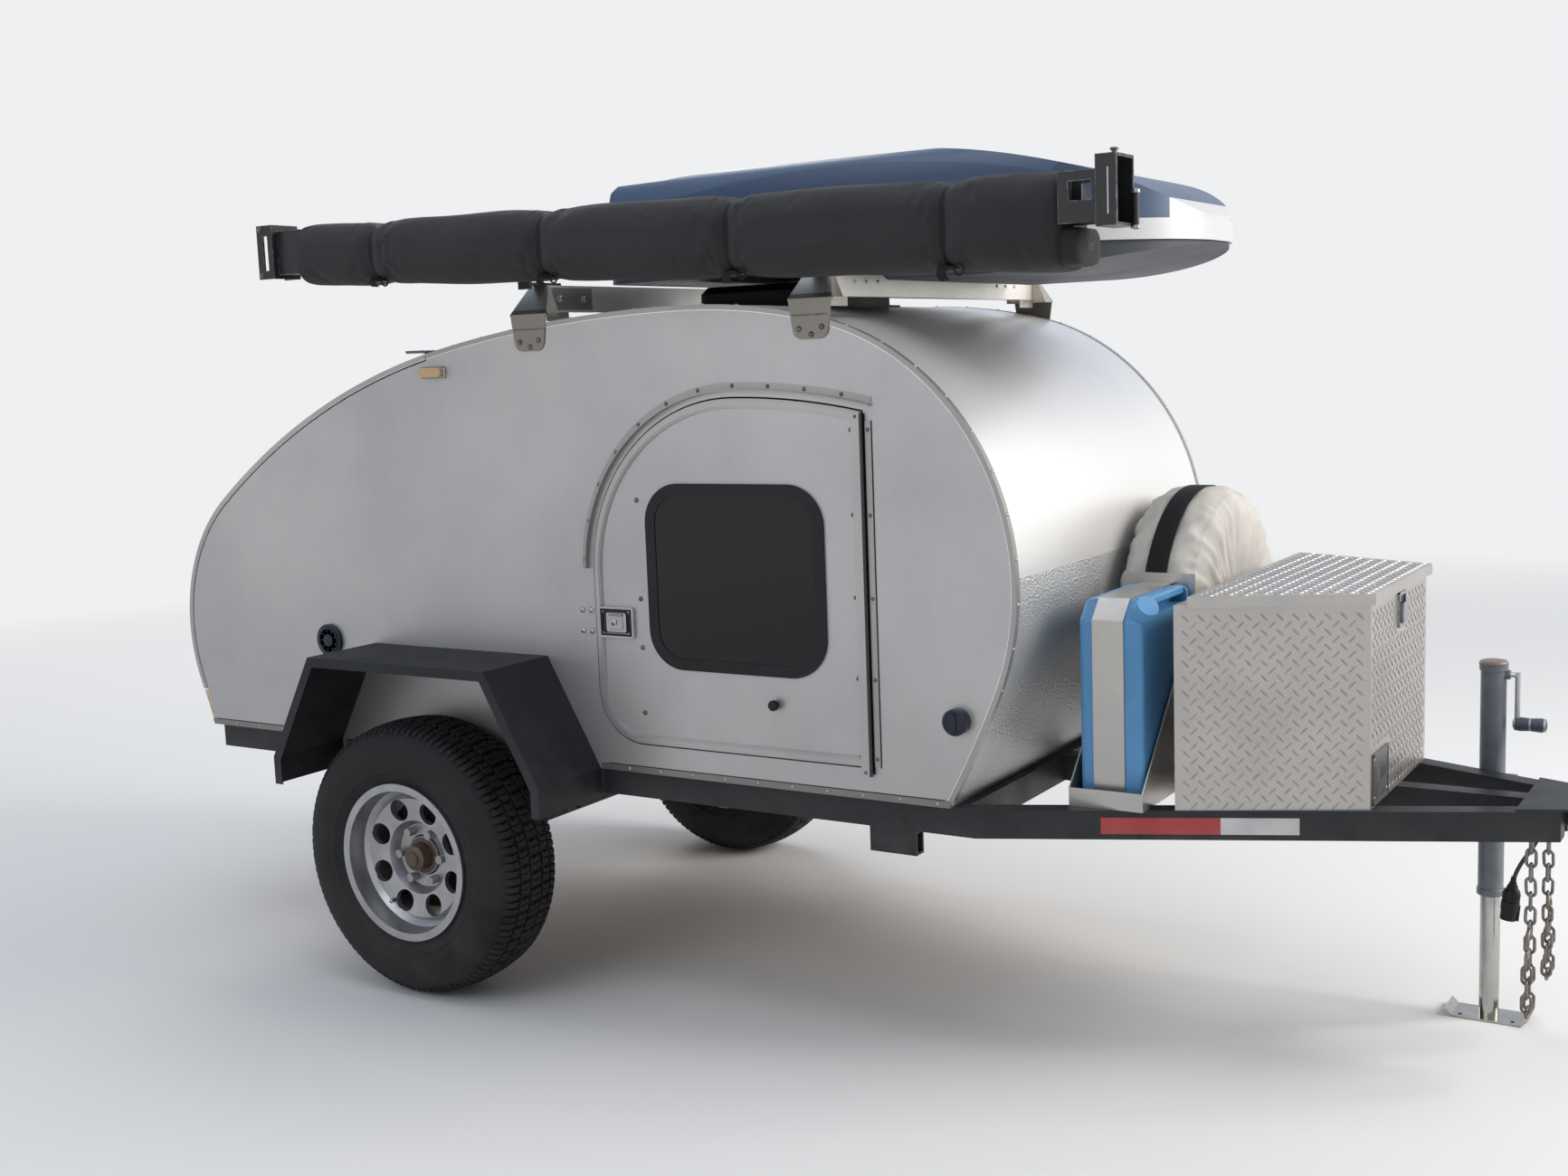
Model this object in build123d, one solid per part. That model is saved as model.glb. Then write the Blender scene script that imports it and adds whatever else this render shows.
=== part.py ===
from build123d import *
import math
import os

# Teardrop trailer, millimetres. +X points to the coupler, +Y to the left side, +Z up.
# The origin is on the ground, on the centreline, at half of the overall length.

os.makedirs("parts", exist_ok=True)

# Body outline: chains of tangent arcs that leave the crown level, one forward and one backward
CROWN_X, CROWN_Z = -150.0, 1743.0
FRONT_ARCS = ((1560.0, 13.4), (616.0, 99.0), (2547.0, 6.5))   # radius, degrees
REAR_ARCS = ((3983.0, 11.3), (2055.0, 27.0), (468.0, 70.1))   # radius, degrees
BODY_HALF = 609.5      # half width over the side walls
BODY_Z = 604.0         # underside of the body, top of the frame
WALL_T = 25.0
SKIN_T = 12.0          # roof, front and hatch skin, which lies on the walls' edges
LINER_T = 20.0         # lining under the skin, between the walls
FLOOR_T = 30.0
SILL_Z = 704.0         # top of the fixed sill under the hatch
HATCH_TURN = 12.67     # degrees along the rear arcs where roof and hatch meet
SEAM = 4.0             # gap round doors and hatch
INNER_HALF = BODY_HALF - WALL_T

# Doors
DOOR_REAR, DOOR_FRONT = -455.0, 318.0
DOOR_Z, DOOR_SPRING_Z = 680.0, 1100.0      # bottom edge, height where the arch springs
DOOR_ARCH_R, DOOR_CROWN_R = 424.0, 1729.0
DOOR_CORNER_R = 128.0
DOOR_BAND = 22.0                           # width of the moulding round the door
DOOR_STEPS = ((0.0, 3.0), (2.5, 5.0), (6.0, 6.5))   # its crown: inset from its edges, height off the door
LATCH = (-390.5, 981.0, 107.0, 78.0)       # centre x and z, width, height
WINDOW = (-278.0, 199.0, 885.0, 1313.0)    # x from, x to, z from, z to
WINDOW_R = 85.0
HINGE_Y = BODY_HALF + 9.0                  # door hinge pin, outside the wall

# Frame
RAIL_W, RAIL_H = 50.0, 65.0
RAIL_OUT = 600.0                           # outer face of the side rails
RAIL_REAR, RAIL_FRONT = -1880.0, 540.0
BEND_X = 570.0                             # where the drawbar rails leave the side rails' line
DRAWBAR_SLOPE = 0.4256                     # sideways per forward
DRAWBAR_END = 1700.0
CROSS_X = (-1855.0, -1400.0, -520.0, 0.0, 515.0)
STEP_X, STEP_Z = (300.0, 420.0), 480.0     # jacking bracket under each side rail

# Wheels and suspension
WHEEL_X, WHEEL_Y = -950.0, 735.0
TYRE_R, TYRE_W = 360.0, 235.0
RIM_R, RIM_HALF = 207.5, 108.0             # flange radius, half width over the flanges
SEAT_R = 190.0                             # bead seat
AXLE_R = 30.0
SPINDLE_R, SPINDLE_FIT = 20.0, 0.05
LUG_R = 69.85                              # six lugs on a 5.5 inch circle
FACE_ON = Rot(90, 0, 0)                    # turns a pattern drawn flat to face along the axle

# Fenders
FENDER_X, FENDER_Z = -925.0, 883.0
FENDER_TOP, FENDER_FOOT = 303.0, 458.0     # half lengths at the top and at the folds near the foot
FENDER_DROP = 530.0                        # lower edge
FENDER_Y = 857.0                           # outer edge
FENDER_T, FENDER_LIP = 4.0, 25.0

# Roof vent
VENT_X, VENT_HALF = (-390.0, -30.0), 180.0
VENT_TOP = 1802.0

# Tongue box
BOX_REAR, BOX_FRONT = 968.0, 1342.0
BOX_HALF_REAR, BOX_HALF_FRONT = 428.0, 262.0
BOX_TOP, BOX_T = 1050.0, 3.0
LID_REAR, LID_TOP, LID_OVER = 998.0, 1075.0, 12.0
BOX_LATCH = (3.5, 1005.0, 63.0, 80.0)      # centre y and z, width, height

# Water can and its holder, and the spare wheel, which stands upright behind the box
CAN_X = (756.0, 904.0)
CAN_Y = (-446.0, -138.0)
CAN_TOP, CAN_SHOULDER = 1060.0, 42.0
TRAY_X = (741.0, 913.0)
TRAY_Y = (-476.0, -126.0)
TRAY_TOP, HOLDER_TOP, SHEET_T = 645.0, 1085.0, 3.0
SPARE_X, SPARE_Y, SPARE_Z = 802.0, 232.0, 905.0
SPARE_R, SPARE_HALF = 355.0, 108.0
SOFT_GAP = 0.3                             # between soft things and what holds them

# Roof load
BAR_X = (-623.0, 195.0)
BAR_Z, BAR_TOP = 1748.0, 1815.0
BAR_HALF_W, BAR_HALF_L = 20.0, 560.0
CARGO_REAR, CARGO_NOSE, CARGO_HALF = -550.0, 930.0, 400.0
CARGO_Z, CARGO_BELLY, CARGO_RIM = 1815.0, 1783.0, 1842.0
CARGO_T, CARGO_LIP, CARGO_CORNER = 4.0, 8.0, 70.0
CARGO_PIN = (412.5, 1842.5)                # y and z of the lid's hinge line
BAG_IN, BAG_OUT = -620.0, -800.0
BAG_ENDS = ((-1237.0, 1844.0, 1998.0), (870.0, 1762.0, 1958.0))   # x, z from, z to

# Tongue jack
JACK_X, JACK_Y = 1500.0, 236.0
JACK_R, JACK_LEG_R = 28.5, 22.5
JACK_LOW, JACK_TOP = 299.0, 840.0
CRANK_Z = 826.0

WORLD = 6000.0


def save(name, *solids):
    """Writes one node, as one solid or several that don't touch."""
    shape = solids[0] if len(solids) == 1 else Compound(children=list(solids))
    shape.label = name
    export_step(shape, f"parts/{name}.step")


def block(x0, x1, y0, y1, z0, z1):
    """Box given by its limits."""
    size = (x1 - x0, y1 - y0, z1 - z0)
    return Pos((x0 + x1) / 2, (y0 + y1) / 2, (z0 + z1) / 2) * Box(*size)


def above(z):
    """All space above a level."""
    return block(-WORLD, WORLD, -WORLD, WORLD, z, WORLD)


def across(face, x0, x1):
    """Solid of a view along X, drawn as y and z, that runs from x0 to x1."""
    turned = Plane(origin=(x0, 0, 0), x_dir=(0, 1, 0), z_dir=(1, 0, 0)) * face
    return extrude(turned, amount=x1 - x0, dir=(1, 0, 0))


def side(face, y0, y1):
    """Solid of a side view, drawn as x and z, that runs from y0 to y1."""
    turned = Plane(origin=(0, y0, 0), x_dir=(1, 0, 0), z_dir=(0, -1, 0)) * face
    return extrude(turned, amount=y1 - y0, dir=(0, 1, 0))


def plan(face, z0, z1):
    """Solid of a plan view that runs from z0 to z1."""
    return extrude(Pos(0, 0, z0) * face, amount=z1 - z0, dir=(0, 0, 1))


def polygon(*points):
    return make_face(Polyline(*points, close=True))


def rod(start, end, radius):
    """Round bar between two points."""
    run = Vector(*end) - Vector(*start)
    sides = (Align.CENTER, Align.CENTER, Align.MIN)
    return Plane(origin=start, z_dir=run) * Cylinder(radius, run.length, align=sides)


def both(shape):
    """The shape and its mirror image on the other side."""
    return shape, mirror(shape, Plane.XZ)


def turned(face):
    """Solid turned about the Y axis from a section drawn as radius and distance along the axis."""
    return revolve(face, Axis.Y)


# Teardrop outline

def arc_chain(arcs, ahead, inset):
    """Tangent arcs from the crown to +X (ahead 1) or -X (ahead -1), all moved inwards by inset."""
    start, heading = Vector(CROWN_X, CROWN_Z - inset), Vector(ahead, 0)
    chain = []
    for radius, turn in arcs:
        chain.append(JernArc(start, heading, radius - inset, -ahead * turn))
        start, heading = chain[-1] @ 1, chain[-1] % 1
    return chain


def skin_point(arcs, ahead, turn, inset=0.0):
    """Point on the outline where it has turned by so many degrees, and its outward normal."""
    centre, used, last = Vector(CROWN_X, CROWN_Z), 0.0, 0.0
    for radius, span in arcs:
        normal = Vector(ahead * math.sin(math.radians(used)), math.cos(math.radians(used)))
        centre = centre + normal * (last - radius)
        last = radius
        if turn <= used + span:
            break
        used += span
    normal = Vector(ahead * math.sin(math.radians(turn)), math.cos(math.radians(turn)))
    return centre + normal * (last - inset), normal


def body(inset, y0, y1):
    """Solid with the outline moved inwards by inset, cut off level at the floor."""
    front, rear = arc_chain(FRONT_ARCS, 1, inset), arc_chain(REAR_ARCS, -1, inset)
    tails = []
    for chain in (front, rear):
        end, heading = chain[-1] @ 1, chain[-1] % 1
        tails.append(Line(end, end + heading * ((end.Y - BODY_Z + 60) / -heading.Y)))
    base = Line(tails[0] @ 1, tails[1] @ 1)
    return side(make_face([*front, tails[0], base, tails[1], *rear]), y0, y1) & above(BODY_Z)


def shell(outer, inner, half):
    """Band between two insets of the outline, over a width of twice half."""
    return body(outer, -half, half) - body(inner, -half - 1, half + 1)


def hatch_side(gap=0.0):
    """All space behind the line where roof and hatch meet, moved back by gap."""
    point, normal = skin_point(REAR_ARCS, -1, HATCH_TURN)
    cut = Plane(origin=(point.X, 0, point.Y), x_dir=(-normal.Y, 0, normal.X), z_dir=(0, -1, 0))
    return cut * Pos(WORLD / 2 + gap, 0, 0) * Box(WORLD, WORLD, WORLD)


def make_body():
    walls = body(SKIN_T, BODY_HALF - WALL_T, BODY_HALF)
    rear_gap = shell(0, SKIN_T + SEAM, WORLD) & hatch_side() & above(SILL_Z)
    left = walls - rear_gap - side(door_face(-SEAM), 0, WORLD)
    save("side_wall_left", left)
    save("side_wall_right", mirror(left, Plane.XZ))

    skin = shell(0, SKIN_T, BODY_HALF)
    liner = shell(SKIN_T, SKIN_T + LINER_T, INNER_HALF)
    front = (skin + liner) - hatch_side(-SEAM / 2)
    floor = body(SKIN_T + LINER_T, -INNER_HALF, INNER_HALF) - above(BODY_Z + FLOOR_T)
    sill = ((skin + liner) & hatch_side()) - above(SILL_Z)
    save("roof_shell", front - vent_hole())
    save("floor", floor + sill)

    hatch_zone = hatch_side(SEAM / 2) & above(SILL_Z + SEAM)
    ribs = shell(SKIN_T, SKIN_T + LINER_T, INNER_HALF - 8) - body(0, -INNER_HALF + 48, INNER_HALF - 48)
    bows = shell(SKIN_T, SKIN_T + LINER_T, INNER_HALF - 8)
    spans = []
    for turn in (16.5, 37.0, 70.0, 101.0):
        point, normal = skin_point(REAR_ARCS, -1, turn)
        upright = Plane(origin=(point.X, 0, point.Y), z_dir=(normal.X, 0, normal.Y))
        spans.append(upright * Box(WORLD, 45, 120))
    for span in spans:
        ribs += bows & span
    save("hatch_shell", (skin + ribs) & hatch_zone)


# Doors

def door_face(inset=0.0, front=DOOR_FRONT):
    """Side view of the door, moved inwards by inset: upright sides, and an arch that falls to the hinge."""
    x0, x1, z0 = DOOR_REAR + inset, front - inset, DOOR_Z + inset
    corner = DOOR_CORNER_R - inset
    up = Line((x0, z0 + corner), (x0, DOOR_SPRING_Z))
    arch = JernArc(up @ 1, (0, 1), DOOR_ARCH_R - inset, -90)
    reach = math.degrees(math.asin((x1 - (arch @ 1).X) / (DOOR_CROWN_R - inset)))
    crown = JernArc(arch @ 1, (1, 0), DOOR_CROWN_R - inset, -reach)
    down = Line(crown @ 1, (x1, z0))
    base = Line((x1, z0), (x0 + corner, z0))
    turn = JernArc(base @ 1, (-1, 0), corner, -90)
    return make_face([up, arch, crown, down, base, turn])


def window_face(inset=0.0):
    x0, x1, z0, z1 = WINDOW
    size = (x1 - x0 - 2 * inset, z1 - z0 - 2 * inset)
    return Pos((x0 + x1) / 2, (z0 + z1) / 2) * RectangleRounded(*size, WINDOW_R - inset)


def door_moulding():
    """Crowned band along the door's edge, cut away round the latch."""
    x, z, width, height = LATCH
    band = None
    for inset, proud in DOOR_STEPS:
        step = side(door_face(inset), BODY_HALF, BODY_HALF + proud)
        step -= side(door_face(DOOR_BAND - inset), 0, WORLD)
        band = step if band is None else band + step
    return band - side(Pos(x, z) * RectangleRounded(width + 2, height + 2, 9), 0, WORLD)


def door_latch():
    """Square dished plate with a paddle in it."""
    x, z, width, height = LATCH
    plate = side(Pos(x, z) * RectangleRounded(width, height, 8), BODY_HALF, BODY_HALF + 9)
    plate -= side(Pos(x, z) * RectangleRounded(width - 26, height - 22, 8), BODY_HALF + 3, WORLD)
    paddle = side(Pos(x, z) * RectangleRounded(width - 46, height - 30, 5), BODY_HALF + 2, BODY_HALF + 8)
    return plate + paddle


def make_doors():
    panel = side(door_face(), INNER_HALF, BODY_HALF) - side(window_face(), 0, WORLD)
    top = 1486
    pin_x = DOOR_FRONT + 2
    leaf = block(DOOR_FRONT - 24, DOOR_FRONT - 1, BODY_HALF + 2, HINGE_Y, DOOR_Z - 20, top)
    pin = rod((pin_x, HINGE_Y, DOOR_Z - 20), (pin_x, HINGE_Y, top), 4)
    frame = side(window_face(-12), BODY_HALF, BODY_HALF + 6)
    frame += side(window_face(), INNER_HALF - 4, BODY_HALF)
    frame -= side(window_face(16), 0, WORLD)
    x_mid = (WINDOW[0] + WINDOW[1]) / 2
    frame += block(x_mid - 12, x_mid + 12, BODY_HALF - 12, BODY_HALF - 2, WINDOW[2] + 10, WINDOW[3] - 10)
    pieces = {
        "door_panel": panel,
        "door_trim": door_moulding() + leaf + pin,
        "window_frame": frame,
        "window_glass": side(window_face(16), BODY_HALF, BODY_HALF + 4),
        "door_latch": door_latch(),
    }
    for name, piece in pieces.items():
        save(f"{name}_left", piece)
        save(f"{name}_right", mirror(piece, Plane.XZ))

    leaf_x = (DOOR_FRONT + SEAM + 5, DOOR_FRONT + 24)
    save("door_hinges", *both(block(*leaf_x, BODY_HALF, BODY_HALF + 3, DOOR_Z, top - 18)))
    save("drip_caps", *both(drip_cap()))


def drip_cap():
    """Angle strip that arches over the door."""
    long = DOOR_FRONT + 60
    over = above(1113) - block(DOOR_FRONT + 26, WORLD, -WORLD, WORLD, -WORLD, WORLD)
    inside = side(door_face(-18, long), 0, WORLD)
    flat = side(door_face(-37, long), BODY_HALF, BODY_HALF + 2) - inside
    lip = side(door_face(-21, long), BODY_HALF, BODY_HALF + 14) - inside
    return (flat + lip) & over


# Interior

def make_interior():
    ceiling = SKIN_T + LINER_T + 1
    inside = body(ceiling, -INNER_HALF, INNER_HALF)
    bulkhead = block(-1150, -1132, -INNER_HALF, INNER_HALF, BODY_Z + FLOOR_T, WORLD) & inside
    save("bulkhead", bulkhead)

    back = -1880
    galley = block(back, -1150, -INNER_HALF, INNER_HALF, 1000, 1018)
    galley += block(back + 30, -1150, -INNER_HALF, INNER_HALF, 800, 815)
    galley += block(-1480, -1150, -INNER_HALF, INNER_HALF, 1300, 1315)
    for y in (-INNER_HALF, -200, 182, INNER_HALF - 18):
        galley += block(back + 30, -1150, y, y + 18, BODY_Z + FLOOR_T, 1000)
        galley += block(-1480, -1150, y, y + 18, 1315, WORLD)
    front = block(-1482, -1464, -INNER_HALF, INNER_HALF, 1300, 1345)
    save("galley", (galley + front) & body(ceiling + 10, -INNER_HALF, INNER_HALF))

    pad = block(-1125, 470, -INNER_HALF + 6, INNER_HALF - 6, BODY_Z + FLOOR_T + 0.3, 750)
    save("mattress", pad & body(ceiling + 8, -INNER_HALF + 6, INNER_HALF - 6))


# Trim on the body

def make_trim():
    edge, leg, sill, proud = 16.0, 10.0, 16.0, 1.5
    ring = body(-proud, BODY_HALF - edge, BODY_HALF + proud)
    ring -= body(0, 0, BODY_HALF)
    ring -= body(leg, 0, WORLD)
    ring &= above(BODY_Z + sill)
    save("roof_trim", *both(ring - hatch_side(-SEAM)))

    point, normal = skin_point(REAR_ARCS, -1, HATCH_TURN)
    pin_at = point + normal * 7
    knuckle = rod((pin_at.X, -BODY_HALF, pin_at.Y), (pin_at.X, BODY_HALF, pin_at.Y), 5)
    bar = block(pin_at.X - 66, pin_at.X - 2, -BODY_HALF, BODY_HALF, pin_at.Y - 2, pin_at.Y + 5)
    bar -= body(0, -WORLD, WORLD)
    hatch_ring = ring & hatch_side(SEAM) & above(SILL_Z + SEAM)
    save("hatch_trim", knuckle + bar, *both(hatch_ring), hatch_grip())

    guard = shell(-proud, 0, BODY_HALF - edge) & block(0, WORLD, -WORLD, WORLD, -WORLD, 1125)
    save("front_guard", guard)

    strip = body(0, BODY_HALF, BODY_HALF + 2) - above(BODY_Z + sill)
    strip -= block(FENDER_X - FENDER_FOOT - 4, FENDER_X + FENDER_FOOT + 4, 0, WORLD, 0, WORLD)
    save("bottom_trim", *both(strip))


def hatch_grip():
    """Dished handle plate low on the hatch."""
    at, push = skin_point(REAR_ARCS, -1, 92.0)
    seat = Plane(origin=(at.X, 0, at.Y), x_dir=(0, 1, 0), z_dir=(push.X, 0, push.Y))
    plate = seat * Pos(0, 0, 5) * Box(130, 60, 14)
    plate -= seat * Pos(0, 0, 12) * Box(100, 34, 16)
    return plate - body(0, -WORLD, WORLD)


def vent_hole():
    return block(*VENT_X, -VENT_HALF, VENT_HALF, 1600, 1800)


def make_vent():
    """Curb through the roof, with a flange that follows the roof, and a lid that laps over the curb."""
    (x0, x1), half, gap = VENT_X, VENT_HALF, 1.0
    flange = shell(-5, 0, half + 20) & block(x0 - 20, x1 + 20, -WORLD, WORLD, 1600, WORLD)
    curb = block(x0 + gap, x1 - gap, -half + gap, half - gap, 1690, VENT_TOP - 18)
    hollow = block(x0 + 15, x1 - 15, -half + 15, half - 15, 1600, WORLD)
    grille = block(x0 + gap, x1 - gap, -10, 10, 1700, 1710)
    lid = block(x0 - 12, x1 + 12, -half - 12, half + 12, 1762, VENT_TOP)
    lid = fillet(lid.edges().filter_by(Axis.Z), 30)
    lid = chamfer(lid.faces().sort_by(Axis.Z)[-1].edges(), 18)
    cavity = Pos((x0 + x1) / 2, 0) * RectangleRounded(x1 - x0 + 12, 2 * half + 12, 24)
    lid -= plan(cavity, 1700, VENT_TOP - 20)
    save("roof_vent", (flange + curb) - hollow + grille + lid)


# Frame

def make_frame():
    inner, low = RAIL_OUT - RAIL_W, BODY_Z - RAIL_H
    rail = block(RAIL_REAR, RAIL_FRONT, inner, RAIL_OUT, low, BODY_Z)
    step = block(*STEP_X, RAIL_OUT - 38, RAIL_OUT - 2, STEP_Z, low)
    step -= block(STEP_X[0] - 1, STEP_X[1] + 1, RAIL_OUT - 32, RAIL_OUT - 8, STEP_Z + 6, low - 8)
    save("side_rails", *both(rail + step))

    wide = RAIL_W * math.sqrt(1 + DRAWBAR_SLOPE ** 2)
    end_y = drawbar_edge(DRAWBAR_END)
    start_y = drawbar_edge(RAIL_FRONT) - wide
    arm = polygon((RAIL_FRONT, start_y), (RAIL_FRONT, RAIL_OUT), (BEND_X, RAIL_OUT),
                  (DRAWBAR_END, end_y), (DRAWBAR_END, end_y - wide))
    arms = both(plan(arm, low, BODY_Z))
    beam = block(RAIL_FRONT, DRAWBAR_END, -RAIL_W / 2, RAIL_W / 2, low, BODY_Z)
    save("drawbar", *arms, beam)

    members = [block(x - 25, x + 25, -inner, inner, low, BODY_Z) for x in CROSS_X]
    save("cross_members", *members, spare_carrier() - arms[0] - beam)


def spare_carrier():
    """Crossbar from the beam to the left rail, and a post that holds the spare wheel from behind."""
    x0, x1 = 662.0, 690.0
    low = SPARE_Y - 25
    high = SPARE_Y + 25
    bar = block(x0 - 12, x1, 0, RAIL_OUT - 70, BODY_Z - RAIL_H, BODY_Z - 10)
    post = block(x0, x1, low, high, BODY_Z - RAIL_H, SPARE_Z + 25)
    reach = SPARE_X - SPARE_HALF + 4 - 0.5 - SOFT_GAP
    return bar + post + block(x0, reach, low, high, SPARE_Z - 25, SPARE_Z + 25)


def drawbar_edge(x):
    """Outer edge of the drawbar rails at x."""
    return RAIL_OUT - DRAWBAR_SLOPE * (x - BEND_X)


def make_coupler():
    top = polygon((1616, -drawbar_edge(1616)), (1760, -drawbar_edge(1760)), (1930, -34), (1930, 34),
                  (1760, drawbar_edge(1760)), (1616, drawbar_edge(1616)))
    plate = plan(top, BODY_Z, BODY_Z + 6)
    nose = block(1700, 1925, -34, 34, 556, BODY_Z + 6)
    nose += Pos(1925, 0, 583) * Cylinder(38, 54)
    nose += Pos(1925, 0, 600) * Sphere(38)
    nose += block(1925, 1992, -24, 24, 590, 606)
    socket = Pos(1925, 0, 590) * Sphere(26.5)
    socket += Pos(1925, 0, 570) * Cylinder(26.5, 40)
    nose -= socket
    nose -= block(1690, 1890, -28, 28, 500, 598)
    handle = block(1800, 1900, -12, 12, 610, 640) + block(1790, 1815, -14, 14, 640, 655)
    save("coupler", plate + nose + handle)


def make_jack():
    x, y = JACK_X, JACK_Y
    tube = rod((x, y, JACK_LOW), (x, y, JACK_TOP), JACK_R)
    tube -= rod((x, y, JACK_LOW - 1), (x, y, JACK_TOP - 12), JACK_LEG_R + 1.5)
    head = rod((x, y, JACK_TOP - 4), (x, y, JACK_TOP + 12), JACK_R + 3)
    mount = block(x - 60, x + 60, 150, y - JACK_R + 3, BODY_Z - 60, BODY_Z - 5)
    nose_x = BEND_X + RAIL_OUT / DRAWBAR_SLOPE
    mount -= plan(polygon((RAIL_FRONT, 0), (RAIL_FRONT, drawbar_edge(RAIL_FRONT)), (nose_x, 0)), 0, WORLD)
    boss = rod((x + JACK_R - 2, y, CRANK_Z), (x + JACK_R + 8, y, CRANK_Z), 11)
    save("jack_tube", tube + head + mount + boss)

    bend_x = x + JACK_R + 24
    arm = rod((x + JACK_R + 8, y, CRANK_Z), (bend_x, y, CRANK_Z), 6)
    arm += rod((bend_x, y, CRANK_Z + 6), (bend_x, y, CRANK_Z - 120), 6)
    arm += rod((bend_x - 6, y, CRANK_Z - 114), (bend_x + 62, y, CRANK_Z - 114), 15)
    save("jack_crank", arm)

    leg = rod((x, y, 4), (x, y, 560), JACK_LEG_R)
    reach, rise, thick = 78.0, 16.0, 5.0
    foot = Pos(x, 0) * polygon((-reach - rise, rise), (-reach, 0), (reach, 0), (reach + rise, rise),
                               (reach + rise - 4, rise + 3), (reach - 2, thick), (2 - reach, thick),
                               (4 - reach - rise, rise + 3))
    save("jack_leg", leg + side(foot, y - 45, y + 45))


# Running gear

def tyre():
    half = TYRE_W / 2
    section = make_face([
        Polyline((SEAT_R, -RIM_HALF + 9.5), (SEAT_R, RIM_HALF - 9.5), (RIM_R + 6, RIM_HALF - 7.5)),
        ThreePointArc((RIM_R + 6, RIM_HALF - 7.5), (272, half), (336, 97)),
        Line((336, 97), (351, 82)),
        ThreePointArc((351, 82), (TYRE_R, 0), (351, -82)),
        Line((351, -82), (336, -97)),
        ThreePointArc((336, -97), (272, -half), (RIM_R + 6, -RIM_HALF + 7.5)),
        Line((RIM_R + 6, -RIM_HALF + 7.5), (SEAT_R, -RIM_HALF + 9.5)),
    ])
    return turned(section)


def rim():
    """Eight-hole rim: flanges and bead seats, a drop centre, and a dished disc behind a deep lip."""
    barrel = polygon((RIM_R, RIM_HALF), (RIM_R, RIM_HALF - 7), (SEAT_R, RIM_HALF - 9), (SEAT_R, 60),
                     (172, 48), (172, -40), (SEAT_R, -52), (SEAT_R, 9 - RIM_HALF),
                     (RIM_R, 7 - RIM_HALF), (RIM_R, -RIM_HALF), (SEAT_R - 2, 1 - RIM_HALF),
                     (SEAT_R - 7, -50), (165, -38), (165, 44), (SEAT_R - 7, 58), (SEAT_R - 2, RIM_HALF - 1))
    disc = polygon((166, 46), (158, 58), (98, 50), (84, 24), (54, 22), (54, 10), (90, 12), (106, 38),
                   (158, 42), (166, 30))
    solid = turned(barrel) + turned(disc)
    for place in PolarLocations(131, 8, start_angle=22.5):
        solid -= FACE_ON * place * Cylinder(29, 200)
    for place in PolarLocations(LUG_R, 6):
        solid -= FACE_ON * place * Cylinder(7.5, 200)
    return solid


def hub():
    """Hub with flange, cap and six lug nuts; its bore runs on the spindle."""
    bore = SPINDLE_R + SPINDLE_FIT
    section = polygon((0, -15), (0, 72), (19, 72), (19, 68), (33, 62), (36, 30), (50, 28), (50, 9.9),
                      (88, 9.9), (88, 2), (60, 0), (46, -60), (bore, -60), (bore, -15))
    solid = turned(section)
    for place in PolarLocations(LUG_R, 6):
        solid += FACE_ON * place * Pos(0, 0, -26) * Cylinder(7, 34)
        solid += FACE_ON * place * Pos(0, 0, -36) * Cylinder(11, 22)
    return solid


def make_wheels():
    place = Pos(WHEEL_X, WHEEL_Y, TYRE_R)
    for name, piece in (("tyre", tyre()), ("rim", rim()), ("hub", hub())):
        left = place * piece
        save(f"{name}_left", left)
        save(f"{name}_right", mirror(left, Plane.XZ))


def make_suspension():
    reach = WHEEL_Y - 60 - 20
    beam = rod((WHEEL_X, -reach, TYRE_R), (WHEEL_X, reach, TYRE_R), AXLE_R)
    for end in (-1, 1):
        root, tip = end * (reach - 1), end * (WHEEL_Y - 18)
        beam += rod((WHEEL_X, root, TYRE_R), (WHEEL_X, tip, TYRE_R), SPINDLE_R)
    save("axle", beam)

    z_low, sag, half = TYRE_R + AXLE_R, 70.0, 330.0
    radius = (half ** 2 + sag ** 2) / (2 * sag)
    spring_y, width = 568.0, 45.0
    centre = (WHEEL_X, z_low + 32 + radius)
    pack = None
    for index, length in enumerate((330, 250, 170, 100)):
        outer, inner = radius + 8 * index, radius + 8 * index - 7.9
        ring = Pos(*centre) * (Circle(outer + 0.2) - Circle(inner))
        leaf = side(ring, spring_y - width / 2, spring_y + width / 2)
        leaf &= block(WHEEL_X - length, WHEEL_X + length, 0, WORLD, 0, z_low + 130)
        pack = leaf if pack is None else pack + leaf
    eye_z = centre[1] - math.sqrt(radius ** 2 - half ** 2)
    for end in (-1, 1):
        x = WHEEL_X + end * (half + 4)
        pack += rod((x, spring_y - width / 2, eye_z), (x, spring_y + width / 2, eye_z), 14)
        pack += block(x - 22, x + 22, spring_y - 28, spring_y - 22, eye_z - 20, BODY_Z - RAIL_H)
        pack += block(x - 22, x + 22, spring_y + 22, spring_y + 28, eye_z - 20, BODY_Z - RAIL_H)
        pack += rod((x, spring_y - 32, eye_z), (x, spring_y + 32, eye_z), 7)
    pack += block(WHEEL_X - 45, WHEEL_X + 45, spring_y - 22, spring_y + 22, z_low, z_low + 9)
    pack += block(WHEEL_X - 50, WHEEL_X + 50, spring_y - 32, spring_y + 32, z_low + 34, z_low + 42)
    save("leaf_springs", *both(pack - rod((WHEEL_X, 0, TYRE_R), (WHEEL_X, WORLD, TYRE_R), AXLE_R)))


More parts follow.
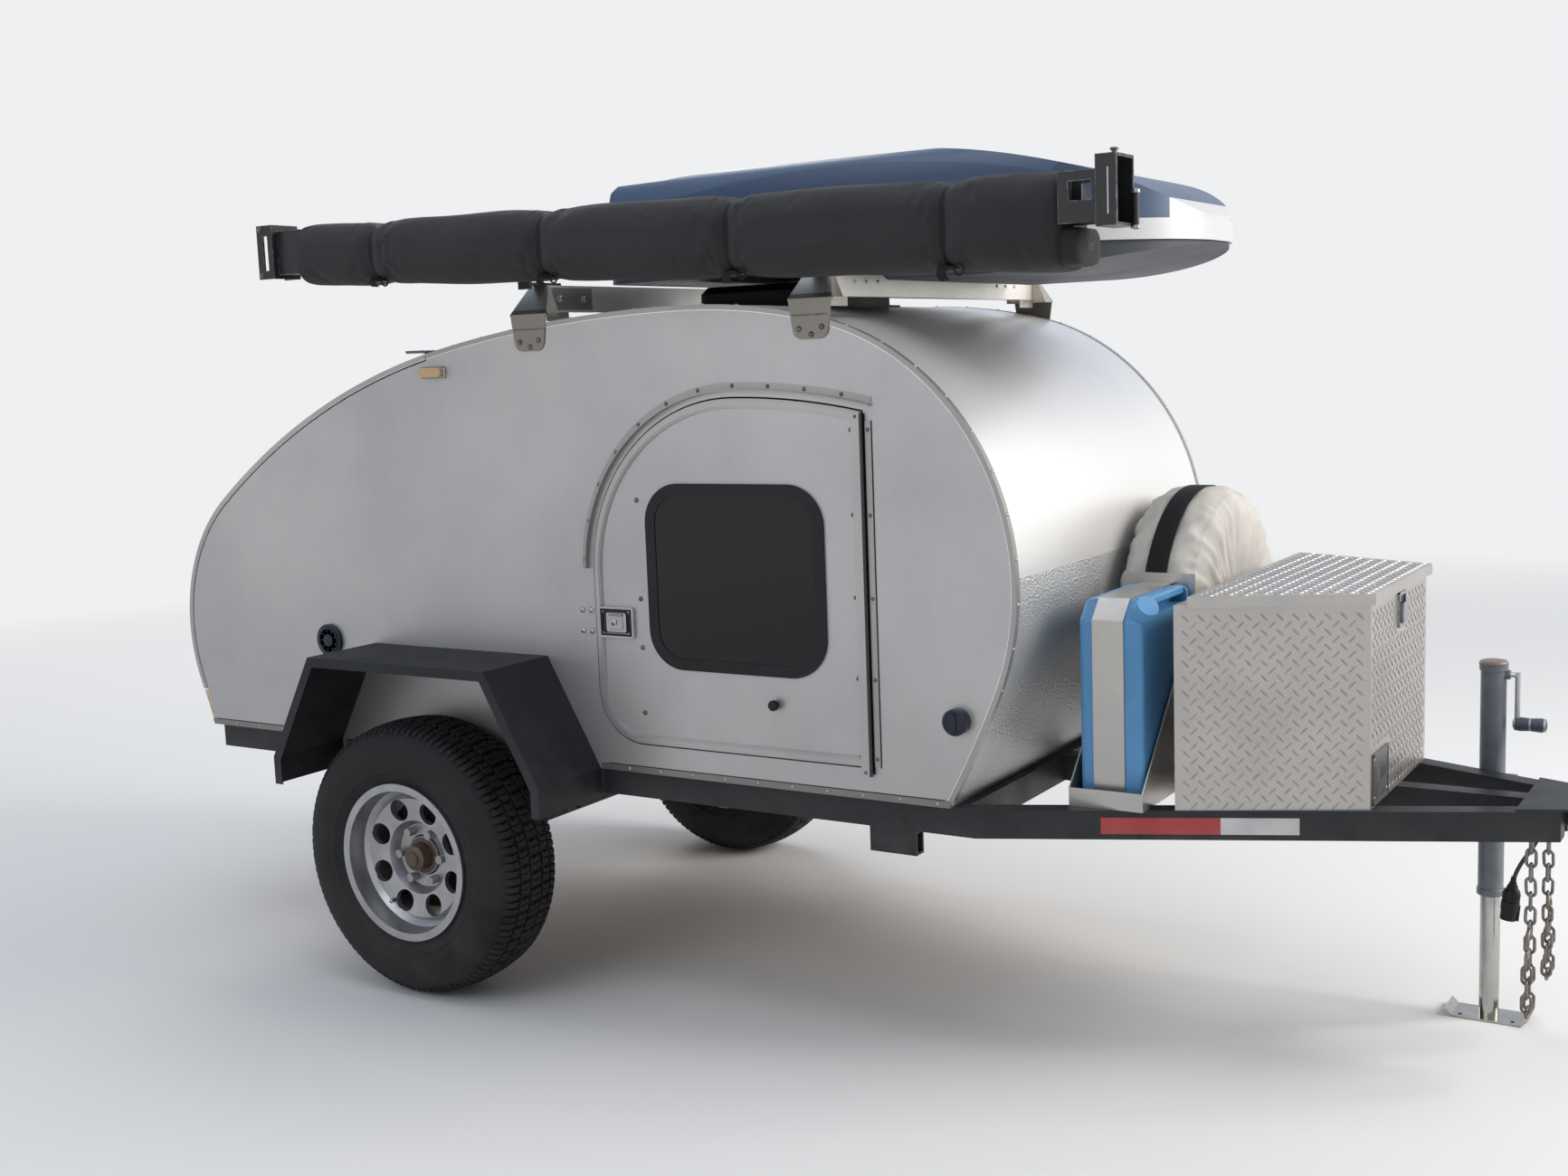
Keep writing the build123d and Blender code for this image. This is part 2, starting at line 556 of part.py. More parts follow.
def make_fenders():
    top, foot, t = FENDER_TOP, FENDER_FOOT, FENDER_T
    outer = polygon((FENDER_X - foot, FENDER_DROP), (FENDER_X - foot, BODY_Z), (FENDER_X - top, FENDER_Z),
                    (FENDER_X + top, FENDER_Z), (FENDER_X + foot, BODY_Z), (FENDER_X + foot, FENDER_DROP))
    inner = offset(outer, amount=-t, kind=Kind.INTERSECTION)
    inner += Pos(FENDER_X, FENDER_DROP) * Rectangle(2 * (foot - t), 20)
    lip_in = offset(outer, amount=-FENDER_LIP, kind=Kind.INTERSECTION)
    lip_in += Pos(FENDER_X, FENDER_DROP) * Rectangle(2 * (foot - FENDER_LIP), 4 * FENDER_LIP)
    sheet = side(outer, BODY_HALF, FENDER_Y) - side(inner, 0, FENDER_Y + 1)
    lip = side(outer, FENDER_Y - t, FENDER_Y) - side(lip_in, 0, WORLD)
    save("fenders", *both(sheet + lip))


# Tongue: box, can, spare

def trapezoid(rear, front, half_rear, half_front):
    return polygon((rear, -half_rear), (front, -half_front), (front, half_front), (rear, half_rear))


def box_half(x):
    """Half width of the tongue box at x."""
    part = (x - BOX_REAR) / (BOX_FRONT - BOX_REAR)
    return BOX_HALF_REAR + part * (BOX_HALF_FRONT - BOX_HALF_REAR)


def make_tongue_box():
    plan_out = trapezoid(BOX_REAR, BOX_FRONT, BOX_HALF_REAR, BOX_HALF_FRONT)
    plan_in = offset(plan_out, amount=-BOX_T, kind=Kind.INTERSECTION)
    case = plan(plan_out, BODY_Z, BOX_TOP) - plan(plan_in, BODY_Z + BOX_T, WORLD)
    ledge_front = LID_REAR - 4
    ledge = trapezoid(BOX_REAR, ledge_front, BOX_HALF_REAR, box_half(ledge_front))
    save("tongue_box", case + plan(ledge, BOX_TOP, BOX_TOP + 6))

    y, z, width, height = BOX_LATCH
    plate = across(Pos(y, z) * RectangleRounded(width, height, 6), BOX_FRONT, BOX_FRONT + 6)
    plate -= across(Pos(y, z) * RectangleRounded(width - 16, height - 16, 4), BOX_FRONT + 2, WORLD)
    paddle = Pos(y, z - 6) * RectangleRounded(width - 24, height - 34, 4)
    save("box_latch", plate + across(paddle, BOX_FRONT + 1, BOX_FRONT + 12))

    front = BOX_FRONT + LID_OVER
    spread = LID_OVER * math.sqrt(1 + DRAWBAR_SLOPE ** 2)
    back = LID_REAR - 9
    lid_out = trapezoid(LID_REAR, front, box_half(LID_REAR) + spread, box_half(front) + spread)
    lid_in = trapezoid(back, front - 4, box_half(back) + spread - 5, box_half(front) + spread - 5)
    lid = plan(lid_out, BOX_TOP + 1, LID_TOP) - plan(lid_in, 0, LID_TOP - 4)
    lid += block(LID_REAR, LID_REAR + 4, -380, 380, BOX_TOP + 8, LID_TOP)
    pin_x, pin_z, pin_r = LID_REAR - 6, BOX_TOP + 11, 5
    lid += rod((pin_x, -380, pin_z), (pin_x, 380, pin_z), pin_r)
    lid += block(pin_x, LID_REAR + 1, -380, 380, pin_z - 2, pin_z + 2)
    save("tongue_box_lid", lid)


def make_can():
    y0, y1 = CAN_Y
    low = BODY_Z + SHEET_T
    shape = polygon((y0, low), (y0, CAN_TOP - CAN_SHOULDER), (y0 + CAN_SHOULDER, CAN_TOP),
                    (y1, CAN_TOP), (y1, low))
    can = across(shape, *CAN_X)
    can = fillet(can.edges(), 15)
    can -= block(866, WORLD, -392, -158, CAN_TOP - 36, WORLD)
    grip = block(870, 896, -394, -156, CAN_TOP - 18, CAN_TOP + 2)
    grip = fillet(grip.edges().filter_by(Axis.Y), 6)
    corner = Vector(878, -414, 1014)
    aim = Vector(0.62, -0.43, 0.66).normalized()
    cap = rod(corner, corner + aim * 62, 21) + rod(corner + aim * 38, corner + aim * 62, 25)
    save("water_can", can + grip + cap)

    tray = block(*TRAY_X, *TRAY_Y, BODY_Z, TRAY_TOP)
    inside = (TRAY_X[0] + SHEET_T, TRAY_X[1] - SHEET_T, TRAY_Y[0] + SHEET_T, TRAY_Y[1] - 4)
    tray -= block(*inside, low, WORLD)
    tray += block(*TRAY_X, TRAY_Y[1] - SHEET_T, TRAY_Y[1], BODY_Z, HOLDER_TOP)
    cheek = polygon((TRAY_Y[0], TRAY_TOP), (TRAY_Y[0], TRAY_TOP - 5), (TRAY_Y[1], TRAY_TOP - 5),
                    (TRAY_Y[1], 1000))
    for x in (TRAY_X[0], TRAY_X[1] - SHEET_T):
        tray += across(cheek, x, x + SHEET_T)
    near, over = y0 - SOFT_GAP, CAN_TOP + SOFT_GAP
    fold = CAN_SHOULDER
    strap = polygon((near - SHEET_T, low - 1), (near - SHEET_T, over - fold + 1),
                    (near + fold - 1, over + SHEET_T), (TRAY_Y[1] - 1, over + SHEET_T),
                    (TRAY_Y[1] - 1, over), (near + fold, over), (near, over - fold), (near, low - 1))
    save("can_holder", tray + across(strap, 790, 862))


def make_spare():
    """Covered wheel: flat faces, and rounded shoulders that meet a narrow tread band."""
    radius, half = SPARE_R, SPARE_HALF
    face, knee, band = 275.0, (336.0, 84.0), 20.0
    section = make_face([
        Polyline((0, half - 4), (face, half)),
        ThreePointArc((face, half), knee, (radius, band)),
        Line((radius, band), (radius, -band)),
        ThreePointArc((radius, -band), (knee[0], -knee[1]), (face, -half)),
        Polyline((face, -half), (0, 4 - half), (0, half - 4)),
    ])
    save("spare_cover", Pos(SPARE_X, SPARE_Y, SPARE_Z) * Rot(0, 0, -90) * turned(section))


# Roof load

def make_rack():
    """Box-section bars that stand on bent feet: a tab on the wall, a ledge, and a tapered riser."""
    half, end, ledge_z = BAR_HALF_W, BAR_HALF_L, BAR_Z - 4
    bars, feet = [], []
    for x in BAR_X:
        bar = block(x - half, x + half, -end, end, BAR_Z, BAR_TOP)
        bars.append(bar - block(x - half + 3, x + half - 3, -end - 1, end + 1, BAR_Z + 3, BAR_TOP - 3))
        riser = across(polygon((-BODY_HALF - 3, ledge_z), (-end, BAR_TOP), (-end, ledge_z)), x - 58, x + 58)
        taper = polygon((x - 58, ledge_z), (x + 58, ledge_z), (x + 30, BAR_TOP), (x - 30, BAR_TOP))
        riser &= side(taper, -WORLD, 0)
        foot = riser + block(x - 58, x + 58, -BODY_HALF - 3, -end, ledge_z - 4, ledge_z)
        foot += block(x - half, x + half, -end - 2, -end + 85, ledge_z, BAR_Z)
        foot += block(x + half - 3, x + half, -end - 2, -end + 85, ledge_z - 18, BAR_Z)
        tab_low = ledge_z - 91
        tab = side(polygon((x - 57, ledge_z), (x + 57, ledge_z), (x + 44, tab_low), (x - 44, tab_low)),
                   -BODY_HALF - 3, -BODY_HALF)
        foot += fillet(tab.edges().filter_by(Axis.Y).group_by(Axis.Z)[0], 24)
        feet += both(foot - body(-1.6, -BODY_HALF - 1.6, BODY_HALF))
    save("roof_crossbars", *bars)
    save("rack_feet", *feet)


def cargo_plan(inset):
    """Plan of the roof box: rounded corners behind, sides that run in to a blunt nose."""
    rear, nose, half = CARGO_REAR + inset, CARGO_NOSE - inset, CARGO_HALF - inset
    corner = CARGO_CORNER - inset
    blunt = 60 - inset / 2
    left = [
        JernArc((rear, half - corner), (0, 1), corner, -90),
        Line((rear + corner, half), (500, half)),
        ThreePointArc((500, half), (790, half - 88), (nose, blunt)),
    ]
    right = [edge.mirror(Plane.XZ) for edge in left]
    ends = [Line((nose, blunt), (nose, -blunt)), Line((rear, half - corner), (rear, corner - half))]
    return make_face([*left, *right, *ends])


def cargo(inset):
    """Whole volume of the roof box, moved inwards by inset: a side view, a plan and a front view in one."""
    rear, nose, half = CARGO_REAR + inset, CARGO_NOSE - inset, CARGO_HALF - inset
    base, belly = CARGO_Z + inset, CARGO_BELLY + inset
    tip = 1900 - inset
    profile = make_face([
        Polyline((-402, 2070 - inset), (rear + 8, 2066 - inset), (rear, 2042), (rear, base),
                 (240 + inset, base), (280 + inset, belly), (520, belly)),
        ThreePointArc((520, belly), (753, belly + 19), (nose, CARGO_RIM - 6)),
        Line((nose, CARGO_RIM - 6), (nose, tip)),
        ThreePointArc((nose, tip), (848, 1957 - inset), (727, 2007 - inset)),
        ThreePointArc((727, 2007 - inset), (480, 2064 - inset), (200, 2097 - inset)),
        ThreePointArc((200, 2097 - inset), (-104, 2098 - inset), (-402, 2070 - inset)),
    ])
    crown = 2104 - inset
    front = make_face([
        Polyline((half - 22, 1990), (half, 1900), (half, 1700), (-half, 1700), (-half, 1900),
                 (22 - half, 1990)),
        ThreePointArc((22 - half, 1990), (52 - half, 2045 - inset), (122 - half, 2083 - inset)),
        ThreePointArc((122 - half, 2083 - inset), (0, crown), (half - 122, 2083 - inset)),
        ThreePointArc((half - 122, 2083 - inset), (half - 52, 2045 - inset), (half - 22, 1990)),
    ])
    whole = side(profile, -WORLD / 4, WORLD / 4) & across(front, -WORLD / 4, WORLD / 4)
    return whole & plan(cargo_plan(inset), 1500, 2500)


def make_cargo_box():
    hollow = cargo(0) - cargo(CARGO_T)
    base = hollow - above(CARGO_RIM)
    part = CARGO_RIM + 1
    strip = polygon((CARGO_REAR - 10, part), (CARGO_NOSE + 10, part), (CARGO_NOSE + 10, part + 47),
                    (CARGO_REAR - 10, part + 26))
    rim = side(strip, -WORLD / 4, WORLD / 4)
    rim &= plan(cargo_plan(-CARGO_LIP), 1500, 2500) - plan(cargo_plan(CARGO_T), 1500, 2500)
    lid = (hollow & above(part)) + (rim & cargo(-CARGO_LIP))
    pin_y, pin_z = CARGO_PIN
    for x in (-420, -30, 360):
        lid += rod((x, pin_y, pin_z), (x + 60, pin_y, pin_z), 4.5)
        lid += block(x, x + 60, CARGO_HALF + 2, pin_y, part, part + 4)
        base += block(x, x + 60, CARGO_HALF - 1, pin_y - 2, CARGO_RIM - 18, CARGO_RIM - 6)
    save("cargo_box_base", base)
    save("cargo_box_lid", lid)


def make_awning():
    """Bagged awning that hangs outside the bars, and the steel arms at its ends."""
    ends = []
    for x, z0, z1 in BAG_ENDS:
        middle = (x, (BAG_IN + BAG_OUT) / 2, (z0 + z1) / 2)
        plane = Plane(origin=middle, x_dir=(0, 1, 0), z_dir=(1, 0, 0))
        ends.append(plane * RectangleRounded(BAG_IN - BAG_OUT, z1 - z0, 40))
    flap = block(BAG_ENDS[1][0] - 2, 912, -786, -650, 1768, 1846)
    flap = fillet(flap.edges().filter_by(Axis.X).group_by(Axis.Z)[0], 30)
    save("awning_bag", loft(ends) + flap)

    rear = block(-1374, -1318, -790, -700, 1866, 2004) - block(-1375, -1324, -785, -705, 1800, WORLD)
    rear -= block(-1352, -1336, -WORLD, -780, 1888, 1976)
    rear += block(-1324, BAG_ENDS[0][0] - SOFT_GAP, -772, -702, 1876, 1988)
    start = BAG_ENDS[1][0] + SOFT_GAP
    hinge = block(start, 956, -788, -712, 1850, 1950) - block(start - 1, 948, -782, -718, 1856, WORLD)
    hinge -= block(892, 940, -WORLD, 0, 1893, 1930)
    hinge += block(953, 996, -800, -707, 1840, 1976) - block(959, 997, -794, -713, 1846, 1970)
    hinge += rod((1001, -714, 1842), (1001, -714, 1905), 7)
    arms = []
    gap_y = BAG_IN + SOFT_GAP
    for x in BAR_X:
        arm = block(x - 20, x + 20, gap_y, gap_y + 5.7, BAR_TOP - 10, BAR_TOP + 90)
        arms.append(arm + block(x - 20, x + 20, gap_y, -500, BAR_TOP, BAR_TOP + 6))
    save("awning_frame", rear, hinge, *arms)


# Lamps, caps, chains and the plug

def make_fittings():
    save("marker_lamps", *both(side(Pos(-952, 1609) * SlotOverall(76, 24), BODY_HALF, BODY_HALF + 18)))
    end_turn = sum(turn for radius, turn in REAR_ARCS)
    end, normal = skin_point(REAR_ARCS, -1, end_turn)
    lamp_z, fall = 655.0, end_turn - 90
    lamp_x = end.X + (end.Y - lamp_z) * math.tan(math.radians(fall))
    lamp = Pos(lamp_x, 470, lamp_z) * Rot(0, fall, 0) * Box(40, 150, 46)
    save("tail_lamps", *both(lamp - body(0, -WORLD, WORLD)))
    vent = rod((-1398, BODY_HALF, 882), (-1398, BODY_HALF + 10, 882), 45)
    cap = rod((540, BODY_HALF, 805), (540, BODY_HALF + 22, 805), 30)
    save("wall_caps", *both(vent), *both(cap))


def link(length, width, wire):
    """Chain link that stands upright in the XZ plane."""
    ring = SlotOverall(length, width, rotation=90)
    ring -= SlotOverall(length - 2 * wire, width - 2 * wire, rotation=90)
    return Rot(90, 0, 0) * extrude(ring, amount=wire / 2, both=True)


def make_chains():
    """Safety chains: each hangs from a lug under a drawbar rail, its end hook caught back in its links."""
    wire, length, width, bite = 7.0, 46.0, 26.0, 0.3
    pitch = length - 2 * wire - bite
    x, y, top = 1643.0, 116.0, BODY_Z - RAIL_H - 18
    chain = block(-12, 12, -4, 4, top - 18, BODY_Z - RAIL_H)
    chain -= rod((0, 0, top - 10), (0, WORLD, top - 10), wire / 2 + 3)
    chain += Pos(0, 0, top - 24) * Rot(0, 0, 90) * link(length, width, wire)
    first = top - 24 - pitch
    for index in range(10):
        chain += Pos(0, 0, first - index * pitch) * Rot(0, 0, 90 * (index % 2)) * link(length, width, wire)
    last = first - 9 * pitch
    turn_z = last - length / 2 + wire / 2
    chain += Pos(pitch / 2, 0, turn_z) * Rot(0, 90, 0) * link(length, width, wire)
    for index in range(4):
        z = last + wire / 2 + index * pitch
        chain += Pos(pitch, 0, z) * Rot(0, 0, 90 * ((index + 1) % 2)) * link(length, width, wire)
    hook_z = last + 3 * pitch + 40
    chain += Pos(pitch - 10, 0, hook_z) * Rot(0, -24, 0) * link(70, 40, 8)
    chain = Pos(x, y) * Rot(0, 0, 90) * chain
    save("safety_chains", *both(chain))


def make_plug():
    """Short cable that comes down out of the beam's end, bends back a little and ends in its plug."""
    points = ((1640, 0, 539), (1640, 0, 512), (1624, -3, 482), (1604, -6, 450), (1591, -8, 418), (1589, -9, 398))
    route = [Vector(*point) for point in points]
    radius, shape = 4.5, []
    at = route[0]
    for before, corner, after in zip(route, route[1:], route[2:]):
        run_in, run_out = corner - before, after - corner
        short = min(run_in.length, run_out.length)
        half_turn = math.radians(run_in.get_angle(run_out)) / 2
        bend, trim = 0.45 * short / math.tan(half_turn), 0.45 * short
        print(f"plug_cable bend radius {bend:.1f} mm, turn {math.degrees(2 * half_turn):.1f} degrees")
        start, end = corner - run_in.normalized() * trim, corner + run_out.normalized() * trim
        shape.append(Line(at, start))
        shape.append(TangentArc(start, end, tangent=run_in))
        at = end
    shape.append(Line(at, route[-1]))
    path = Wire(shape)
    save("plug_cable", sweep(Plane(origin=path @ 0, z_dir=path % 0) * Circle(radius), path=path))
    print(f"plug_cable length {path.length:.1f} mm")
    end, heading = path @ 1, path % 1
    body_of_plug = Plane(origin=end, z_dir=heading) * Pos(0, 0, 38) * Cylinder(20, 76)
    save("cable_plug", body_of_plug)


make_body()
make_doors()
make_interior()
make_trim()
make_vent()
make_frame()
make_coupler()
make_jack()
make_wheels()
make_suspension()
make_fenders()
make_tongue_box()
make_can()
make_spare()
make_rack()
make_cargo_box()
make_awning()
make_fittings()
make_chains()
make_plug()
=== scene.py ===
# %% [markdown]
# # A teardrop trailer, dressed for the camera
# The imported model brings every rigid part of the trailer, already in place and in metres: +X points to
# the coupler, +Y to the left side, +Z up. This lesson keeps those parts, gives them their finishes, and
# builds what a solid model leaves out: tread, cloth, chequer plate, chain, screws and straps.

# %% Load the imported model
import math

import bmesh
import bpy
import numpy as np
from mathutils import Matrix, Vector


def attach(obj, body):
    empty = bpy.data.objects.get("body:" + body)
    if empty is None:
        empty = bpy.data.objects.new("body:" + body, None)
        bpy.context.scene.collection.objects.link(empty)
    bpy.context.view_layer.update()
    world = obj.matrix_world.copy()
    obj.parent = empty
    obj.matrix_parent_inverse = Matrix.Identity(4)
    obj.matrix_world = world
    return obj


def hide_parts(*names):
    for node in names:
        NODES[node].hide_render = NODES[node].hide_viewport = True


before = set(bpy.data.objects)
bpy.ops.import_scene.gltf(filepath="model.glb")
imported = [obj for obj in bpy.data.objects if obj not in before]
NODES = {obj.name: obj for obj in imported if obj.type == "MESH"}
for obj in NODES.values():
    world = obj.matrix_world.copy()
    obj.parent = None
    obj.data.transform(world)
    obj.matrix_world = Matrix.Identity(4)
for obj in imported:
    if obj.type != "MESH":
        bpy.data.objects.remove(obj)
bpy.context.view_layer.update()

# %% [markdown]
# ## Surfaces as arrays
# Every new piece is a surface worked out with numpy. A grid of points, rows by columns, becomes quads;
# a small shape that repeats is worked out once and carried to all its places in one product of arrays.
# Blender's own primitives would do for a first try, but arrays give exact places and few lines.

# %% Grids, copies and meshes
def grid_faces(rows, columns, wrap_rows=False, wrap_columns=False):
    """Quads of a grid of points: each joins a point with its neighbours in the next row and column."""
    r = np.arange(rows if wrap_rows else rows - 1)[:, None]
    c = np.arange(columns if wrap_columns else columns - 1)[None, :]
    r1, c1 = (r + 1) % rows, (c + 1) % columns
    quads = np.stack([r * columns + c, r * columns + c1, r1 * columns + c1, r1 * columns + c], axis=-1)
    return quads.reshape(-1, 4)


def piece(name, points, faces, body, look, slot):
    """Smooth mesh object from arrays, with its finish. It rides on a CAD body; the slot argument is not
    used.
    """
    mesh = bpy.data.meshes.new(name)
    mesh.from_pydata(np.asarray(points, float).reshape(-1, 3), [], faces)
    mesh.validate()
    made = bpy.data.objects.new(name, mesh)
    bpy.context.scene.collection.objects.link(made)
    mesh.materials.append(look)
    mesh.shade_smooth()
    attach(made, body)
    return made


def copies(unit, at, turns):
    """The unit's points carried to many places: each copy is the unit times its turn, plus its place."""
    return (np.einsum("nij,pj->npi", np.asarray(turns, float), unit) + at[:, None]).reshape(-1, 3)


def copied_faces(faces, count, size):
    """Faces of count copies of a unit that has size points."""
    return (faces[None] + (np.arange(count) * size)[:, None, None]).reshape(-1, faces.shape[1])


def turns_to(normals, along=(0.0, 0.0, 1.0)):
    """Turns that send Z to each normal and X as near as it can go to along."""
    n = np.asarray(normals, float).reshape(-1, 3)
    n = n / np.linalg.norm(n, axis=1, keepdims=True)
    t = np.broadcast_to(np.asarray(along, float), n.shape)
    t = t - (t * n).sum(1, keepdims=True) * n
    t = t / np.linalg.norm(t, axis=1, keepdims=True)
    return np.stack([t, np.cross(n, t), n], axis=-1)


print("mesh helpers ready")

# %% [markdown]
# ## Finishes
# A finish is a node graph. On the real trailer no surface is one even colour: metal is clouded and
# brushed, paint gathers dust low down, and edges wear bright. So each finish here mixes two tones by a
# soft noise, varies its roughness with a grain, adds dust by height, and ends in a small bump. The
# patterns read Object coordinates, so they stay on the piece in every view and at every pose.

# %% A small kit for node graphs
def add(tree, kind, inputs=(), **settings):
    """Adds a node, sets what is given, and links or sets its inputs by name or number."""
    made = tree.nodes.new(kind)
    for key, value in settings.items():
        setattr(made, key, value)
    for key, value in dict(inputs).items():
        if isinstance(value, bpy.types.NodeSocket):
            tree.links.new(value, made.inputs[key])
        else:
            made.inputs[key].default_value = value
    return made


def rgb(colour):
    return (*colour, 1.0)


def place_of(tree):
    """The shaded point in the piece's own metres, so that a pattern stays on the piece."""
    return add(tree, "ShaderNodeTexCoord").outputs["Object"]


def x_y_z(tree):
    """The three coordinates of the shaded point."""
    return add(tree, "ShaderNodeSeparateXYZ", {"Vector": place_of(tree)}).outputs


def stretched(tree, scale):
    """Object coordinates, scaled on each axis so that a noise becomes a grain."""
    return add(tree, "ShaderNodeMapping", {"Vector": place_of(tree), "Scale": scale}).outputs["Vector"]


def noise(tree, scale, stretch=(1, 1, 1), detail=4.0, rough=0.55):
    """Soft noise from 0 to 1 with so many spots per metre."""
    made = add(tree, "ShaderNodeTexNoise", {"Vector": stretched(tree, stretch), "Scale": scale,
                                            "Detail": detail, "Roughness": rough})
    return made.outputs["Fac"]


def ramp(tree, value, low, high, to_low=0.0, to_high=1.0):
    """The value between low and high, spread over another range and held at its ends."""
    return add(tree, "ShaderNodeMapRange", {"Value": value, "From Min": low, "From Max": high,
                                            "To Min": to_low, "To Max": to_high}).outputs["Result"]


def mix(tree, share, one, other):
    """A colour between two, by a share."""
    made = add(tree, "ShaderNodeMix", data_type="RGBA")
    for socket, value in ((made.inputs[0], share), (made.inputs[6], one), (made.inputs[7], other)):
        if isinstance(value, bpy.types.NodeSocket):
            tree.links.new(value, socket)
        else:
            socket.default_value = value
    return made.outputs[2]


def times(tree, one, other, operation="MULTIPLY"):
    """The product of two values, or the result of another operation on them."""
    made = add(tree, "ShaderNodeMath", operation=operation)
    for socket, value in zip(made.inputs, (one, other)):
        if isinstance(value, bpy.types.NodeSocket):
            tree.links.new(value, socket)
        else:
            socket.default_value = value
    return made.outputs[0]


def height_dust(tree, low, high):
    """1 near the ground, 0 above high, broken up by noise: where road dust stays."""
    fall = ramp(tree, x_y_z(tree)["Z"], low, high, 1.0, 0.0)
    return times(tree, fall, ramp(tree, noise(tree, 9.0, detail=6.0), 0.35, 0.65))


WEAR_RADIUS = 0.0035


def worn_edges(tree):
    """1 where the surface bends within a small radius, broken up by noise: edges that rub bright."""
    rounded = add(tree, "ShaderNodeBevel", {"Radius": WEAR_RADIUS}, samples=4).outputs["Normal"]
    plain = add(tree, "ShaderNodeNewGeometry").outputs["Normal"]
    alike = add(tree, "ShaderNodeVectorMath", {0: rounded, 1: plain},
                operation="DOT_PRODUCT").outputs["Value"]
    return times(tree, ramp(tree, alike, 0.97, 0.86), ramp(tree, noise(tree, 60.0), 0.38, 0.62))


def relief(tree, scale, kind, stretch=(1, 1, 1)):
    """Height for a bump: round cells or soft noise, so many per metre."""
    if kind == "noise":
        return noise(tree, scale, stretch, detail=3.0)
    cells = add(tree, "ShaderNodeTexVoronoi", {"Vector": stretched(tree, stretch), "Scale": scale})
    return cells.outputs["Distance"]


def bump(tree, height, depth, normal=None):
    """Normal bent by a height of so many metres, on top of another bent normal if there is one."""
    inputs = {"Height": height, "Strength": 1.0, "Distance": depth}
    if normal is not None:
        inputs["Normal"] = normal
    return add(tree, "ShaderNodeBump", inputs).outputs["Normal"]


def finish(name, tone, tone2, rough=(0.35, 0.55), metal=0.0, patch=3.0, grain=40.0, stretch=(1, 1, 1),
           dust=None, wear=None, bumps=(), coat=0.0, sheen=0.0, gleam=0.5, pattern=None, extra=None):
    """A finish from two tones, a range of roughness, a grain, dust, wear and bumps.

    A pattern changes the colour before wear and dust; an extra changes the shader or the normal at the end.
    """
    made = bpy.data.materials.new(name)
    made.use_nodes = True
    tree = made.node_tree
    shader = tree.nodes["Principled BSDF"]
    soft = noise(tree, patch, detail=5.0)
    colour = mix(tree, ramp(tree, soft, 0.35, 0.65), rgb(tone), rgb(tone2))
    fine = noise(tree, grain, stretch, detail=3.0)
    colour = mix(tree, ramp(tree, fine, 0.3, 0.7, 0.0, 0.10), colour, rgb([v * 0.55 for v in tone]))
    if pattern is not None:
        colour = pattern(tree, colour)
    if wear is not None:
        colour = mix(tree, worn_edges(tree), colour, rgb(wear))
    if dust is not None:
        low, high, share, shade = dust
        colour = mix(tree, times(tree, height_dust(tree, low, high), share), colour, rgb(shade))
    tree.links.new(colour, shader.inputs["Base Color"])
    both = add(tree, "ShaderNodeMix", {0: 0.25, 2: soft, 3: fine}).outputs[0]
    tree.links.new(ramp(tree, both, 0.35, 0.65, *rough), shader.inputs["Roughness"])
    shader.inputs["Metallic"].default_value = metal
    shader.inputs["Specular IOR Level"].default_value = gleam
    shader.inputs["Coat Weight"].default_value = coat
    shader.inputs["Coat Roughness"].default_value = 0.12
    shader.inputs["Sheen Weight"].default_value = sheen
    normal = None
    for scale, kind, depth, *drawn_out in bumps:
        normal = bump(tree, relief(tree, scale, kind, *drawn_out), depth, normal)
    if extra is not None:
        normal = extra(tree, shader, normal)
    if normal is not None:
        tree.links.new(normal, shader.inputs["Normal"])
    return made


print("finish kit ready; edges wear bright within", WEAR_RADIUS, "m")

# %% [markdown]
# ## The metals of the body
# The walls and the roof are bare aluminium sheet, etched dull by weather: cool, clouded, with a faint
# upright brushing and greasy patches where hands rub. They are metallic with a high roughness, because
# plain grey paint would not pick up the light of the sky along the roof as the real sheet does.

# %% The sheets and their edge strips
DUST = (0.42, 0.37, 0.31)
SHEET = dict(metal=0.72, patch=1.6, grain=130.0)


def streaks(tree, colour):
    """Long upright water streaks and a soft smear of grime, a few percent darker."""
    run = ramp(tree, noise(tree, 2.2, (6.0, 6.0, 0.5), detail=6.0, rough=0.6), 0.45, 0.75, 0.0, 0.22)
    colour = mix(tree, run, colour, rgb((0.50, 0.47, 0.45)))
    smear = ramp(tree, noise(tree, 1.1, detail=7.0, rough=0.65), 0.52, 0.72, 0.0, 0.35)
    return mix(tree, smear, colour, rgb((0.52, 0.48, 0.45)))


# Painted shade and light: the walls get a far darker tone than the roof of the same aluminium sheet, as if
# the sides stood in shade and the sun fell on the roof.
WALL_PAINTED_SHADE = finish("wall_sheet_painted_shade", (0.49, 0.482, 0.484), (0.41, 0.405, 0.41), (0.36, 0.50), stretch=(3, 3, 0.12),
              dust=(0.60, 0.95, 0.25, DUST), pattern=streaks,
              bumps=[(1.7, "noise", 0.0022), (240, "noise", 0.00004, (3, 3, 0.1))], **SHEET)
ROOF_PAINTED_LIGHT = finish("roof_sheet_painted_light", (0.83, 0.82, 0.81), (0.77, 0.765, 0.765), (0.34, 0.42), stretch=(0.12, 3, 0.12),
              dust=(0.60, 0.80, 0.15, DUST), bumps=[(1.3, "noise", 0.0009)], **SHEET)
TRIM = finish("edge_trim", (0.38, 0.37, 0.355), (0.31, 0.30, 0.29), (0.30, 0.45), stretch=(2, 2, 2),
              dust=(0.58, 0.80, 0.3, DUST), **SHEET)


HATCH_HINGE_Z = 1.6585
HINGE_PIN_X = 0.3172


def dark_hinge(tree, colour):
    """The hinge across the roof at the hatch's top edge is dark; the edge moulding stays bright."""
    above = times(tree, x_y_z(tree)["Z"], HATCH_HINGE_Z, "GREATER_THAN")
    return mix(tree, above, colour, rgb((0.11, 0.11, 0.115)))


